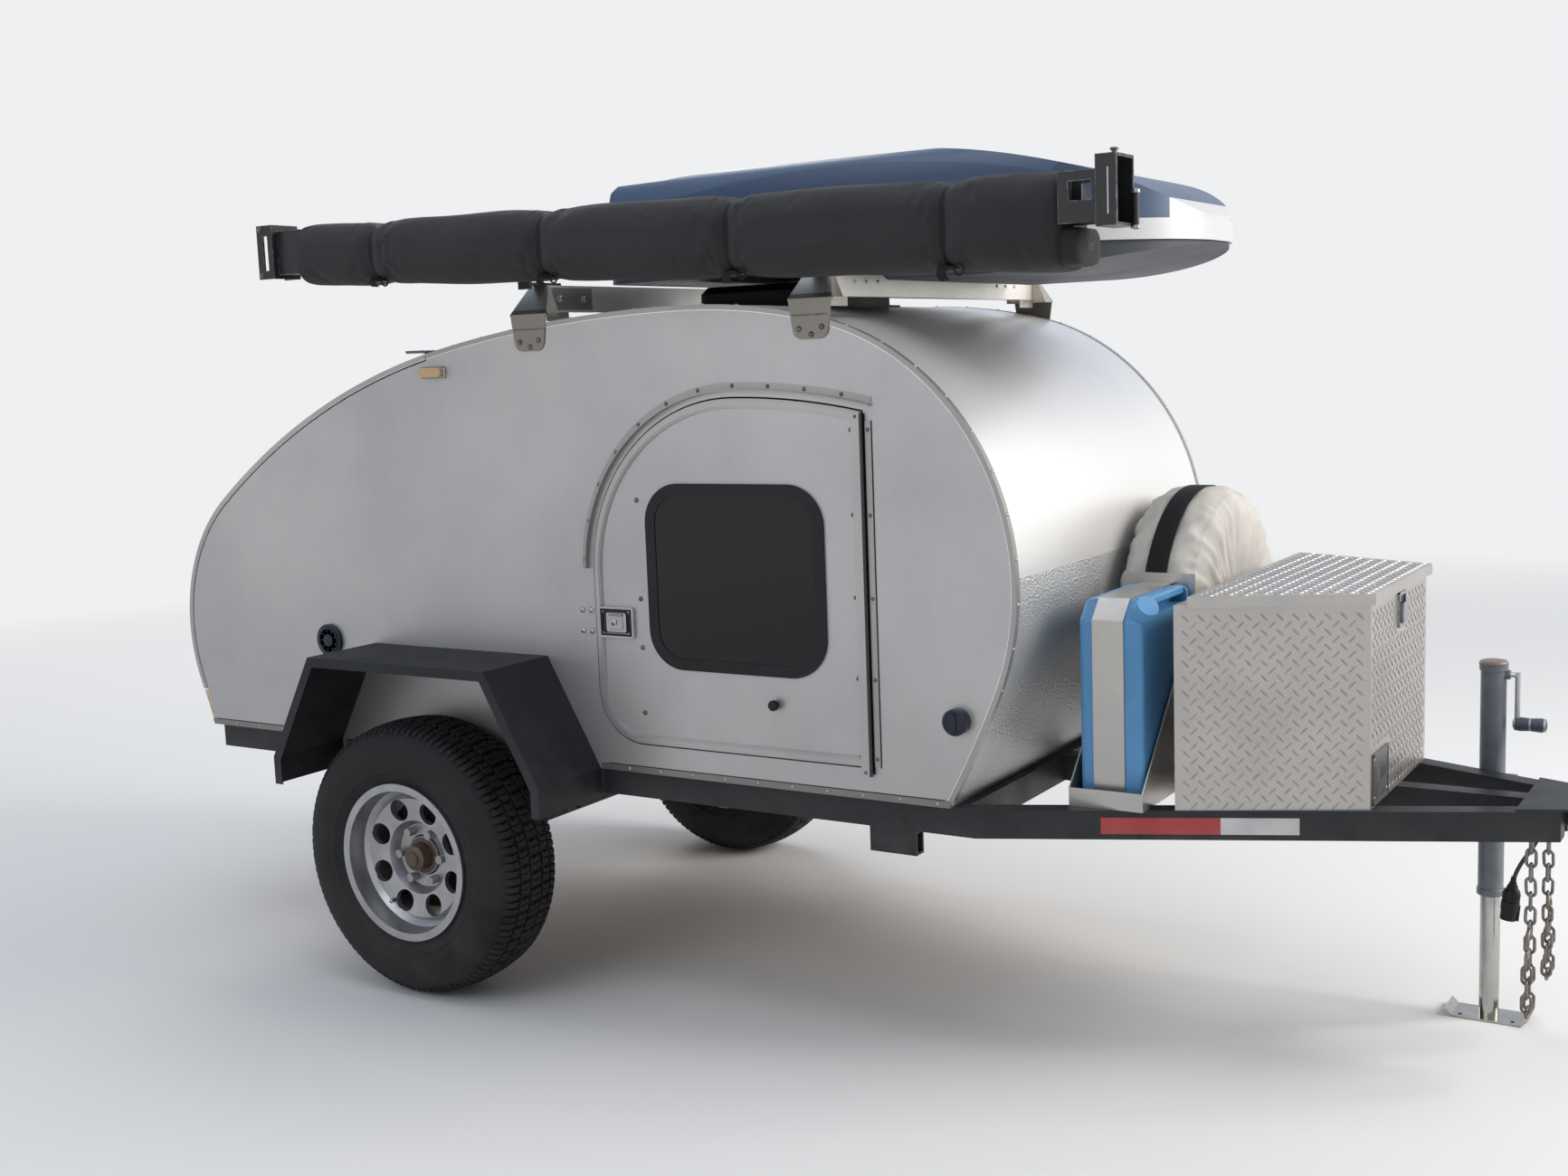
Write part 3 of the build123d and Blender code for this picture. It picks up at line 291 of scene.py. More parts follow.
SILL_TRIM = finish("sill_trim", (0.25, 0.245, 0.235), (0.20, 0.195, 0.19), (0.34, 0.48),
                   stretch=(0.2, 1, 1), **SHEET)
HATCH_TRIM = finish("hatch_moulding", (0.46, 0.45, 0.44), (0.38, 0.37, 0.365), (0.30, 0.45),
                    stretch=(2, 2, 2), dust=(0.58, 0.80, 0.3, DUST), pattern=dark_hinge, **SHEET)


def dark_pin(tree, colour):
    """The door's hinge pin stands in the shade between its leaves."""
    beyond = times(tree, x_y_z(tree)["X"], HINGE_PIN_X, "GREATER_THAN")
    return mix(tree, beyond, colour, rgb((0.05, 0.05, 0.055)))


DOOR_TRIM = finish("door_moulding", (0.46, 0.45, 0.44), (0.39, 0.38, 0.375), (0.30, 0.42),
                   stretch=(2, 2, 2), pattern=dark_pin, **SHEET)


def guard_texture(tree, shader, normal):
    """Pebbled sheet: a fine net of raised cells, deep enough to catch the light."""
    return bump(tree, relief(tree, 190.0, "cells"), 0.0016)


GUARD = finish("guard_sheet", (0.60, 0.60, 0.60), (0.52, 0.52, 0.53), (0.30, 0.46),
               dust=(0.60, 1.0, 0.35, DUST), extra=guard_texture, **SHEET)
print("sheet finishes:", len(bpy.data.materials))

# %% [markdown]
# Plate, bars, wheels and fittings are brighter or darker metals of the same kind; the roof bars' much
# brighter tone is painted light.
# Where one solid holds parts of two tones, a small pattern splits it by place: the bent feet of the roof
# bars are painted darker outside the wall, a painted shade, and the wheel's nuts are brighter than the rusty
# cap between them.

# %% Plate, bars, wheels and fittings
PLATE = finish("chequer_plate", (0.52, 0.492, 0.465), (0.46, 0.438, 0.415), (0.28, 0.40), metal=0.85,
               patch=5.0, grain=160.0, dust=(0.60, 0.72, 0.3, DUST))
LID_LUG = finish("lid_lugs", (0.50, 0.49, 0.48), (0.43, 0.42, 0.415), (0.30, 0.42), metal=0.85, patch=30.0,
                 grain=300.0)
# Painted shade: the lugs on the box's sides are darker than the plate and the lid's lugs, for the shade
# along their edges.
LUGS_PAINTED_SHADE = finish("chequer_lugs_painted_shade", (0.38, 0.355, 0.33), (0.31, 0.29, 0.27), (0.24, 0.36), metal=0.9,
                 patch=30.0, grain=300.0)
PLAIN = finish("mill_aluminium", (0.50, 0.475, 0.445), (0.45, 0.43, 0.405), (0.26, 0.38), metal=0.85,
               patch=6.0, grain=220.0, stretch=(0.1, 1, 1))


FEET_FROM_Y = 0.605
AXLE_AT = (-0.950, 0.0, 0.360)
CAP_RADIUS = 0.048


def feet_painted_shade(tree, colour):
    """Painted shade: the bent feet outside the body stand in the shade, so they are painted darker than the
    bars.
    """
    off = times(tree, x_y_z(tree)["Y"], 0.0, "ABSOLUTE")
    return mix(tree, times(tree, off, FEET_FROM_Y, "GREATER_THAN"), colour, rgb((0.215, 0.20, 0.18)))


STAINLESS = finish("bent_steel", (0.56, 0.52, 0.46), (0.48, 0.45, 0.405), (0.26, 0.38), metal=0.92,
                   patch=9.0, grain=260.0, stretch=(1, 1, 0.3), pattern=feet_painted_shade)
# Painted light: the roof bars get a far brighter tone than the other mill aluminium, as if the sun fell on
# them.
BAR_PAINTED_LIGHT = finish("bar_aluminium_painted_light", (0.86, 0.825, 0.77), (0.79, 0.76, 0.71), (0.34, 0.46), metal=0.80,
                   patch=6.0, grain=220.0, stretch=(1, 0.1, 1))
ZINC = finish("zinc_steel", (0.50, 0.50, 0.51), (0.40, 0.40, 0.42), (0.30, 0.48), metal=0.85, patch=14.0,
              grain=200.0, stretch=(1, 1, 0.15), dust=(0.0, 0.25, 0.6, DUST))
CHROME = finish("chrome", (0.42, 0.42, 0.43), (0.36, 0.36, 0.375), (0.06, 0.12), metal=1.0, patch=20.0,
                grain=300.0)
ALLOY = finish("wheel_alloy", (0.44, 0.44, 0.45), (0.36, 0.36, 0.37), (0.26, 0.42), metal=0.80, patch=18.0,
               grain=300.0, stretch=(1, 3, 1), dust=(0.10, 0.62, 0.30, (0.38, 0.34, 0.30)))


def bright_nuts(tree, colour):
    """The nuts stand further from the axle than the cap and are bright; the cap is brown."""
    off = add(tree, "ShaderNodeVectorMath", {0: place_of(tree), 1: [-v for v in AXLE_AT]},
              operation="ADD").outputs["Vector"]
    flat = add(tree, "ShaderNodeVectorMath", {0: off, 1: (1.0, 0.0, 1.0)},
               operation="MULTIPLY").outputs["Vector"]
    away = add(tree, "ShaderNodeVectorMath", {0: flat}, operation="LENGTH").outputs["Value"]
    return mix(tree, times(tree, away, CAP_RADIUS, "GREATER_THAN"), colour, rgb((0.34, 0.33, 0.33)))


HUB = finish("cast_hub", (0.085, 0.065, 0.052), (0.14, 0.10, 0.072), (0.35, 0.60), metal=0.55, patch=40.0,
             grain=200.0, pattern=bright_nuts, bumps=[(300, "noise", 0.0004)])
DRUM = finish("cast_drum", (0.030, 0.026, 0.023), (0.048, 0.038, 0.030), (0.55, 0.75), metal=0.3,
              patch=30.0, grain=200.0, gleam=0.3)
SCREW = finish("screw_heads", (0.42, 0.41, 0.40), (0.32, 0.315, 0.31), (0.25, 0.40), metal=0.85, patch=60.0,
               grain=300.0)
DARK_SCREW = finish("dark_screws", (0.16, 0.155, 0.15), (0.11, 0.105, 0.10), (0.35, 0.50), metal=0.6,
                    patch=60.0, grain=300.0)
DARK_PLATE = finish("dark_plate", (0.12, 0.12, 0.125), (0.16, 0.16, 0.165), (0.30, 0.45), metal=0.6,
                    patch=30.0, grain=300.0)
JACK_PAINT = finish("jack_paint", (0.115, 0.135, 0.155), (0.145, 0.165, 0.185), (0.34, 0.50), metal=0.25,
                    patch=20.0, grain=200.0, dust=(0.28, 0.45, 0.3, DUST))
LEG_STEEL = finish("leg_steel", (0.50, 0.49, 0.47), (0.42, 0.41, 0.395), (0.14, 0.26), metal=1.0,
                   patch=20.0, grain=300.0, dust=(0.0, 0.10, 0.5, DUST))
CHAIN_STEEL = finish("chain_steel", (0.24, 0.22, 0.20), (0.15, 0.13, 0.115), (0.30, 0.50), metal=0.8,
                     patch=60.0, grain=300.0)
CAP_BROWN = finish("jack_cap", (0.15, 0.115, 0.115), (0.19, 0.145, 0.14), (0.45, 0.60), patch=40.0,
                   grain=300.0)
print("sheets and metals:", len(bpy.data.materials))

# %% [markdown]
# ## Paint, plastic, rubber and wood
# The chassis is brushed-on black paint, semi-gloss, dusty low down; the fenders a grainier black.
# Plastics are plain in colour but never mirror-smooth. A little coat gives the lamps' lenses and the
# varnished wood a clear skin.

# %% Painted and moulded finishes
FRAME = finish("frame_paint", (0.014, 0.015, 0.017), (0.022, 0.023, 0.026), (0.36, 0.55), patch=7.0,
               grain=120.0, dust=(0.30, 0.62, 0.45, (0.20, 0.18, 0.16)), gleam=0.3,
               bumps=[(90, "noise", 0.0003)])
FENDER = finish("fender_paint", (0.014, 0.015, 0.018), (0.022, 0.023, 0.027), (0.48, 0.66), patch=4.0,
                grain=260.0, dust=(0.50, 0.86, 0.25, (0.14, 0.13, 0.12)), gleam=0.25,
                bumps=[(420, "cells", 0.00025)])
RUBBER = finish("tyre_rubber", (0.012, 0.012, 0.013), (0.020, 0.020, 0.020), (0.62, 0.85), patch=9.0,
                grain=150.0, gleam=0.25, dust=(0.0, 0.70, 0.22, (0.11, 0.10, 0.09)),
                bumps=[(500, "noise", 0.00025)])
LEAD = finish("lead_rubber", (0.016, 0.016, 0.017), (0.026, 0.026, 0.027), (0.38, 0.55), patch=40.0,
              grain=300.0)
BLACK = finish("black_plastic", (0.009, 0.009, 0.010), (0.014, 0.014, 0.016), (0.36, 0.52), patch=12.0,
               grain=240.0, gleam=0.25, bumps=[(600, "cells", 0.00008)])
STEEL_BLACK = finish("black_steel", (0.014, 0.014, 0.016), (0.022, 0.022, 0.024), (0.34, 0.50), patch=12.0,
                     grain=200.0, wear=(0.30, 0.28, 0.26), gleam=0.35)


CREASE_TOP = (0.12, 2.062)
CREASE_BEND = 0.21
NOSE_CAP = (0.885, 1.935)


def recess_painted_shade(tree, x, y, z):
    """Mask of a painted shade: 1 in the recess along the lid's sides, under a crease that is a parabola in x
    and z.
    """
    far = times(tree, times(tree, x, CREASE_TOP[0], "SUBTRACT"), 2.0, "POWER")
    crease = times(tree, CREASE_TOP[1], times(tree, far, CREASE_BEND), "SUBTRACT")
    under = ramp(tree, times(tree, crease, z, "SUBTRACT"), -0.002, 0.005)
    out = ramp(tree, times(tree, y, 0.0, "ABSOLUTE"), 0.25, 0.31)
    along = times(tree, ramp(tree, x, -0.40, -0.30), ramp(tree, x, 0.78, 0.66))
    return times(tree, times(tree, under, out), along)


def silver_parts(tree, colour):
    """Silver on the lid's rim band, which rises to the front, and on its nose cap; the rest is blue, with
    painted shade in the side recess.
    """
    x, y, z = x_y_z(tree)
    band = times(tree, z, ramp(tree, x, -0.55, 0.93, 1.8695, 1.8905), "LESS_THAN")
    ahead = times(tree, x, NOSE_CAP[0], "GREATER_THAN")
    cap = times(tree, ahead, times(tree, z, NOSE_CAP[1], "LESS_THAN"))
    # Painted shade: the side recess is darkened, as its face turns away from the light.
    colour = mix(tree, times(tree, recess_painted_shade(tree, x, y, z), 0.62), colour, rgb((0.018, 0.036, 0.078)))
    return mix(tree, times(tree, band, cap, "MAXIMUM"), colour, rgb((0.56, 0.56, 0.57)))


def translucent(tree, shader, normal):
    """A little light goes into the plastic and comes out beside its entry."""
    shader.inputs["Subsurface Weight"].default_value = 0.12
    return normal


GLOSS_LID = finish("cargo_gloss", (0.058, 0.092, 0.158), (0.050, 0.080, 0.140), (0.33, 0.38), metal=0.10,
                   grain=4.0, gleam=0.4, pattern=silver_parts)
DARK_BASE = finish("cargo_base", (0.040, 0.045, 0.056), (0.052, 0.058, 0.070), (0.42, 0.58), patch=5.0,
                   grain=300.0, gleam=0.35, bumps=[(700, "cells", 0.0002)])
CAN_BLUE = finish("can_blue", (0.075, 0.240, 0.45), (0.095, 0.285, 0.52), (0.30, 0.46), patch=6.0,
                  grain=240.0, bumps=[(500, "cells", 0.00015)], extra=translucent)
NAVY = finish("cap_navy", (0.010, 0.014, 0.028), (0.014, 0.019, 0.036), (0.22, 0.35), patch=20.0,
              grain=300.0, gleam=0.35)
AMBER = finish("amber_lens", (0.50, 0.30, 0.12), (0.58, 0.36, 0.16), (0.10, 0.22), patch=30.0, grain=400.0,
               coat=0.6)
TAPE_RED = finish("tape_red", (0.34, 0.035, 0.035), (0.42, 0.055, 0.05), (0.25, 0.45), patch=9.0,
                  grain=300.0, bumps=[(900, "cells", 0.0001)])
TAPE_WHITE = finish("tape_white", (0.46, 0.45, 0.45), (0.58, 0.57, 0.56), (0.25, 0.45), patch=14.0,
                    grain=300.0, bumps=[(900, "cells", 0.0001)])
RED = finish("red_lens", (0.42, 0.015, 0.015), (0.50, 0.03, 0.02), (0.10, 0.22), patch=30.0, grain=400.0,
             coat=0.6)
GREY_GRIP = finish("grey_grip", (0.045, 0.055, 0.075), (0.060, 0.070, 0.092), (0.45, 0.60), patch=30.0,
                   grain=300.0)


print("painted and moulded finishes done:", len(bpy.data.materials))

# %% [markdown]
# The cabin's floor, bulkhead and galley are varnished plywood, which shows through the open doors and
# hatch. Its grain is a noise drawn out along X. The windows are tinted: a share of the light passes, and
# a thin film of dust breaks the mirror image.

# %% Wood and glass
def ply_grain(tree, colour):
    """Long wood grain along X."""
    grain = ramp(tree, noise(tree, 30.0, (0.25, 3.0, 3.0), detail=7.0, rough=0.6), 0.35, 0.65)
    return mix(tree, times(tree, grain, 0.55), colour, rgb((0.36, 0.22, 0.11)))


PLYWOOD = finish("varnished_ply", (0.60, 0.42, 0.24), (0.66, 0.48, 0.29), (0.25, 0.40), patch=4.0,
                 grain=80.0, stretch=(0.2, 3, 3), coat=0.3, pattern=ply_grain)


def glass_look(name, tint, clear, rough=0.03):
    """Tinted pane: a share of light passes, the rest meets a dark glossy surface."""
    made = bpy.data.materials.new(name)
    made.use_nodes = True
    tree = made.node_tree
    shader = tree.nodes["Principled BSDF"]
    film = ramp(tree, noise(tree, 3.0, (1, 1, 0.4), detail=5.0), 0.4, 0.7, rough, rough + 0.10)
    shader.inputs["Base Color"].default_value = rgb(tint)
    tree.links.new(film, shader.inputs["Roughness"])
    shader.inputs["Transmission Weight"].default_value = clear
    shader.inputs["IOR"].default_value = 1.45
    shader.inputs["Specular IOR Level"].default_value = 0.35
    return made


TINT = glass_look("tinted_glass", (0.008, 0.009, 0.010), clear=0.20)
print("finishes:", len(bpy.data.materials))

# %% [markdown]
# ## Cloth
# Three cloths show: the heavy black canvas of the awning bag, the pale cover of the spare wheel, and the
# mattress; the straps are woven tape. A weave is two waves that cross, each thread a ridge. It follows
# the piece's own UV map, in metres, so the threads bend with the surface instead of cutting through it.

# %% Woven finishes
def weave(thread, depth):
    """Crossed threads so many per metre, as height for a bump; the UV map counts metres."""
    def look(tree, shader, normal):
        uv = add(tree, "ShaderNodeUVMap", uv_map="metres").outputs["UV"]
        inputs = {"Vector": uv, "Scale": thread / 6.2832 * 2.0, "Distortion": 0.6, "Detail": 1.0}
        warp, weft = (add(tree, "ShaderNodeTexWave", inputs, bands_direction=way).outputs["Fac"]
                      for way in ("X", "Y"))
        return bump(tree, times(tree, warp, weft, "MAXIMUM"), depth, normal)
    return look


CANVAS = finish("awning_canvas", (0.0255, 0.0245, 0.0265), (0.036, 0.0345, 0.0370), (0.62, 0.80), patch=3.5,
                grain=60.0, sheen=0.06, gleam=0.2, bumps=[(26, "noise", 0.0012)],
                extra=weave(900.0, 0.0004))
COVER = finish("cover_cloth", (0.46, 0.44, 0.41), (0.60, 0.575, 0.535), (0.60, 0.80), patch=7.0, grain=40.0,
               dust=(0.5, 0.9, 0.35, DUST), sheen=0.1, bumps=[(45, "noise", 0.0015)],
               extra=weave(700.0, 0.0003))
BEDDING = finish("mattress_cloth", (0.36, 0.38, 0.42), (0.42, 0.44, 0.47), (0.70, 0.85), patch=8.0,
                 grain=90.0, sheen=0.2, extra=weave(500.0, 0.0004))
WEBBING = finish("strap_webbing", (0.0085, 0.0085, 0.009), (0.013, 0.013, 0.014), (0.60, 0.75), gleam=0.2,
                 patch=30.0, grain=200.0, bumps=[(1000, "cells", 0.0003)])
print("cloths: canvas, cover, bedding, webbing")

# %% [markdown]
# ## Finishes on the carried-over parts
# A CAD part whose shape is right keeps it, and only its material slots are filled. One table names the
# finish of every part, so a new look is one changed word.

# %% Dress the CAD nodes
FINISH_OF = {
    "side_wall": WALL_PAINTED_SHADE, "door_panel": WALL_PAINTED_SHADE, "roof_shell": ROOF_PAINTED_LIGHT, "hatch_shell": ROOF_PAINTED_LIGHT, "front_guard": GUARD,
    "roof_trim": TRIM, "bottom_trim": SILL_TRIM, "drip_caps": TRIM, "door_hinges": TRIM,
    "hatch_trim": HATCH_TRIM, "door_trim": DOOR_TRIM, "side_rails": FRAME, "cross_members": FRAME,
    "drawbar": FRAME, "axle": FRAME, "leaf_springs": FRAME, "coupler": FRAME, "fenders": FENDER,
    "tyre": RUBBER, "rim": ALLOY, "hub": HUB, "window_frame": BLACK, "window_glass": TINT,
    "door_latch": CHROME, "box_latch": CHROME, "bulkhead": PLYWOOD, "galley": PLYWOOD, "floor": PLYWOOD,
    "mattress": BEDDING, "tongue_box": PLATE, "can_holder": PLAIN, "roof_crossbars": BAR_PAINTED_LIGHT,
    "rack_feet": STAINLESS, "water_can": CAN_BLUE, "spare_cover": COVER, "cargo_box_lid": GLOSS_LID,
    "cargo_box_base": DARK_BASE, "roof_vent": BLACK, "awning_bag": CANVAS, "awning_frame": STEEL_BLACK,
    "marker_lamps": AMBER, "tail_lamps": RED, "wall_caps": NAVY, "jack": ZINC, "jack_tube": JACK_PAINT,
    "jack_crank": ZINC, "jack_leg": LEG_STEEL, "safety_chains": CHAIN_STEEL, "plug_cable": RUBBER,
    "cable_plug": BLACK,
}
bare = []
for name, node in NODES.items():
    key = max((k for k in FINISH_OF if name.startswith(k)), key=len, default=None)
    if key is None:
        bare.append(name)
        continue
    node.data.materials.clear()
    node.data.materials.append(FINISH_OF[key])
print("dressed", len(NODES) - len(bare), "CAD nodes; without a finish:", bare)

# %% [markdown]
# ## Tyres
# A tyre for rough ground is a smooth casing with separate blocks of rubber on it. The casing is a profile
# turned about the axle. The blocks are drawn flat, as if the tread were unrolled: u runs across it, v
# along it. Each outline is then wrapped round the casing and given a chamfered top, so every edge is
# crisp and one block costs a few dozen faces. A displaced grid would need a hundred times as many.

# %% The tyre's profile
WHEEL_X, WHEEL_Y, WHEEL_Z = AXLE_AT[0], 0.735, AXLE_AT[2]
PITCHES = 54
TREAD_DEPTH = 0.009
BEAD_INNER = 0.187
# Raised rings on the flank: place across the unrolled tyre, height and width
FLANK_RINGS = ((0.136, 0.0012, 0.0020), (0.1835, 0.0011, 0.0016), (0.2065, 0.0030, 0.0045))


def arc_through(start, middle, end, count):
    """Points on the circle through three points: its centre is where their two bisectors meet."""
    a, b, c = (np.asarray(p, float) for p in (start, middle, end))
    centre = np.linalg.solve(np.array([b - a, c - b]) * 2, np.array([b @ b - a @ a, c @ c - b @ b]))
    turns = np.unwrap([math.atan2(*(p - centre)[::-1]) for p in (a, b, c)])
    at = np.linspace(turns[0], turns[2], count)
    return centre + np.linalg.norm(a - centre) * np.stack([np.cos(at), np.sin(at)], axis=1)


# Distance from the axle and distance from the tyre's middle plane, from tread to bead, in metres
crown = arc_through((0.360, 0.0), (0.3577, 0.0415), (0.351, 0.082), 24)
shoulder = np.array([(0.351, 0.082), (0.3455, 0.0885), (0.336, 0.097)])
flank = arc_through((0.336, 0.097), (0.272, 0.1175), (0.2135, 0.1005), 30)
HALF_PROFILE = np.concatenate([crown[:-1], shoulder[:-1], flank])
PROFILE_U = np.concatenate([[0.0], np.cumsum(np.linalg.norm(np.diff(HALF_PROFILE, axis=0), axis=1))])
slope = np.gradient(HALF_PROFILE, axis=0)
PROFILE_OUT = np.stack([slope[:, 1], -slope[:, 0]], axis=1)
PROFILE_OUT /= np.linalg.norm(PROFILE_OUT, axis=1, keepdims=True)


def on_tyre(u, v, height, side):
    """Point at u across and v along the unrolled tread, so high over the profile; side is -1 or 1."""
    across = np.abs(u)
    radius, off = (np.interp(across, PROFILE_U, HALF_PROFILE[:, k]) + height
                   * np.interp(across, PROFILE_U, PROFILE_OUT[:, k]) for k in (0, 1))
    turn = v / WHEEL_Z
    x = WHEEL_X + radius * np.cos(turn)
    z = WHEEL_Z + radius * np.sin(turn)
    return np.stack([x, side * WHEEL_Y + np.sign(u) * off, z], axis=-1)


def casing(side):
    """Casing: the profile lowered by the tread's depth under the blocks, turned once round the axle."""
    u = np.concatenate([np.linspace(0, 0.112, 17), np.linspace(0.116, PROFILE_U[-1], 34)])
    low = TREAD_DEPTH * np.clip((0.110 - u) / 0.030, 0, 1)
    lift = sum(high * np.exp(-((u - at) / wide) ** 2) for at, high, wide in FLANK_RINGS)
    u_all = np.concatenate([-u[::-1], u[1:]])
    height = np.concatenate([(lift - low)[::-1], (lift - low)[1:]])
    v = np.linspace(0, 2 * math.pi * WHEEL_Z, 192, endpoint=False)
    points = on_tyre(u_all[None, :] + 0 * v[:, None], v[:, None] + 0 * u_all[None, :], height[None, :],
                     side)
    centre, shrink = np.array(AXLE_AT), BEAD_INNER / HALF_PROFILE[-1, 0]
    inner = centre + (points[:, [0, -1]] - centre) * np.array([shrink, 1.0, shrink])
    points = np.concatenate([inner[:, :1], points, inner[:, 1:]], axis=1)
    return points.reshape(-1, 3), grid_faces(len(v), points.shape[1], wrap_rows=True)


print("tyre profile, tread to bead:", round(float(PROFILE_U[-1]), 3), "m")

# %% [markdown]
# One pitch of the tread has two blocks in the middle row, two beside it and two lugs on the shoulder.
# The side rows are mirrored to the other half of the tyre and stand half a pitch further on there.

# %% Outlines of the tread blocks
# In millimetres, across the tyre and along the tread
BLOCKS = [
    [(-17, 2), (-5, -1), (6, 4), (17, 1), (19, 15), (7, 17.5), (-6, 14), (-18, 17)],
    [(-18, 19), (-6, 16), (7, 19.5), (19, 17), (17, 32), (5, 34), (-6, 30), (-17, 33)],
    [(25, 6), (38, 2), (52, 7), (55, 20), (40, 18), (26, 23)],
    [(26, 25), (40, 20), (55, 22), (53, 36), (39, 33), (27, 39)],
    [(60, 0), (74, -3), (88, -2), (101, -1), (109, 1), (109, 12), (101, 14), (88, 14), (74, 13), (61, 15)],
    [(62, 21), (74, 18), (88, 19), (98, 20), (98, 33), (88, 34), (74, 32), (60, 35)],
]


print("blocks on each tyre:", PITCHES * (2 + 4 * 2))


# %% Blocks carried round the tyre
def block_shape(outline):
    """Rings of a block: foot, side, chamfer and top, as (u, v, height), with its faces."""
    edge = np.asarray(outline, float) / 1000
    middle = edge.mean(axis=0)
    inward = (middle - edge) / np.linalg.norm(edge - middle, axis=1, keepdims=True)
    rings = [(edge - inward * 0.0012, -0.0105), (edge, -0.0010), (edge + inward * 0.0011, 0.0),
             (middle + (edge - middle) * 0.45, 0.0003)]
    points = np.concatenate([np.c_[ring, np.full(len(edge), height)] for ring, height in rings]
                            + [[[*middle, 0.0003]]])
    n = len(edge)
    walls = grid_faces(4, n, wrap_columns=True)
    return points, walls.tolist() + [[3 * n + k, 3 * n + (k + 1) % n, 4 * n] for k in range(n)]


def joined(parts):
    """Points and faces of several shapes as one."""
    points, faces, start = [], [], 0
    for p, f in parts:
        p = np.asarray(p, float).reshape(-1, 3)
        points.append(p)
        faces += [[int(k) + start for k in face] for face in f]
        start += len(p)
    return np.concatenate(points), faces


def tread(side):
    """All blocks of a tyre: each outline, and its mirror half a pitch on, repeated for every pitch."""
    pitch = 2 * math.pi * WHEEL_Z / PITCHES
    parts = []
    for outline in BLOCKS:
        unit, faces = block_shape(outline)
        across, along, height = unit.T
        # Feet are sunk into the casing, less so towards the thin edge of the shoulder
        sunk = np.where(height < -0.005, np.clip((0.124 - np.abs(across)) / 0.03, 0.25, 1), 1)
        middle_row = np.abs(across).max() < 0.03
        for flip in (1,) if middle_row else (1, -1):
            at = (np.arange(PITCHES) + (0.5 if flip < 0 else 0.0)) * pitch
            u = np.broadcast_to(across * flip, (PITCHES, len(unit)))
            points = on_tyre(u, at[:, None] + along, height * sunk + 0 * u, side).reshape(-1, 3)
            order = [face[::flip] for face in faces]
            parts.append((points, [[k + i * len(unit) for k in face]
                                   for i in range(PITCHES) for face in order]))
    return joined(parts)


def outward(made):
    """Turns all faces of a closed piece outwards, as Blender's own recalculation does."""
    work = bmesh.new()
    work.from_mesh(made.data)
    bmesh.ops.remove_doubles(work, verts=work.verts, dist=1e-6)
    bmesh.ops.recalc_face_normals(work, faces=work.faces)
    work.to_mesh(made.data)
    work.free()
    made.data.update()


def crisp(made, degrees):
    """Smooth shading, with edges kept sharp where faces meet at more than this angle."""
    made.data.set_sharp_from_angle(angle=math.radians(degrees))


def solid(name, parts, body, look, slot, sharp=35, replaces=()):
    """One piece from several closed shapes, with outward faces and kept edges."""
    made = piece(name, *joined(parts), body, look, slot)
    outward(made)
    crisp(made, sharp)
    if replaces:
        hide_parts(*replaces)
    return made


SIDES = ((-1, "right"), (1, "left"))
for side, word in SIDES:
    tyre = solid(f"tyre_with_tread_{word}", [casing(side), tread(side)], f"wheel_{word}", RUBBER,
                 "tyre_rubber", replaces=[f"tyre_{word}"])
    print(tyre.name, "faces:", len(tyre.data.polygons))

# %% [markdown]
# ## Valves
# A short rubber stem stands in the bowl of each rim, with a pale cap. It turns with the wheel.

# %% Valve stems
def turned(profile, at, axis, count=16):
    """Solid of revolution: pairs of (distance, radius) along an axis that goes through a point."""
    along, radius = np.asarray(profile, float).T
    turn = np.linspace(0, 2 * math.pi, count, endpoint=False)
    ring = np.stack([np.cos(turn), np.sin(turn)], axis=1)
    height = np.broadcast_to(along[:, None, None], (len(along), count, 1))
    unit = np.concatenate([ring[None] * radius[:, None, None], height], axis=2)
    steep = abs(axis[0]) < 0.9 * np.linalg.norm(axis)
    to_axis = turns_to([axis], along=(1.0, 0.0, 0.0) if steep else (0.0, 0.0, 1.0))[0]
    points = unit.reshape(-1, 3) @ to_axis.T + np.asarray(at, float)
    faces = grid_faces(len(along), count, wrap_columns=True).tolist()
    caps = [list(range(count))[::-1], [(len(along) - 1) * count + k for k in range(count)]]
    return points, faces + caps


for side, word in SIDES:
    base = (WHEEL_X - 0.082, side * (WHEEL_Y + 0.030), WHEEL_Z - 0.118)
    lean = (-0.12, side, -0.18)
    stem = turned([(-0.012, 0.0075), (0.004, 0.0072), (0.010, 0.0052), (0.030, 0.0044)], base, lean)
    made = piece(f"valve_stem_{word}", *stem, f"wheel_{word}", BLACK, "tyre_rubber")
    outward(made)
    cap = turned([(0.029, 0.0050), (0.0305, 0.0056), (0.041, 0.0054), (0.0425, 0.0040)], base, lean)
    made = piece(f"valve_cap_{word}", *cap, f"wheel_{word}", CHROME, "latch_chrome")
    outward(made)
print("valves: one stem and cap on each wheel")

# %% [markdown]
# ## Sweeps
# Straps, links, hooks and handles are all a section carried along a line. At every point of the line the
# section is set square to it; a fixed side direction keeps it from twisting. Plates and boxes are slabs
# with eased edges, because a perfectly sharp edge catches no light.

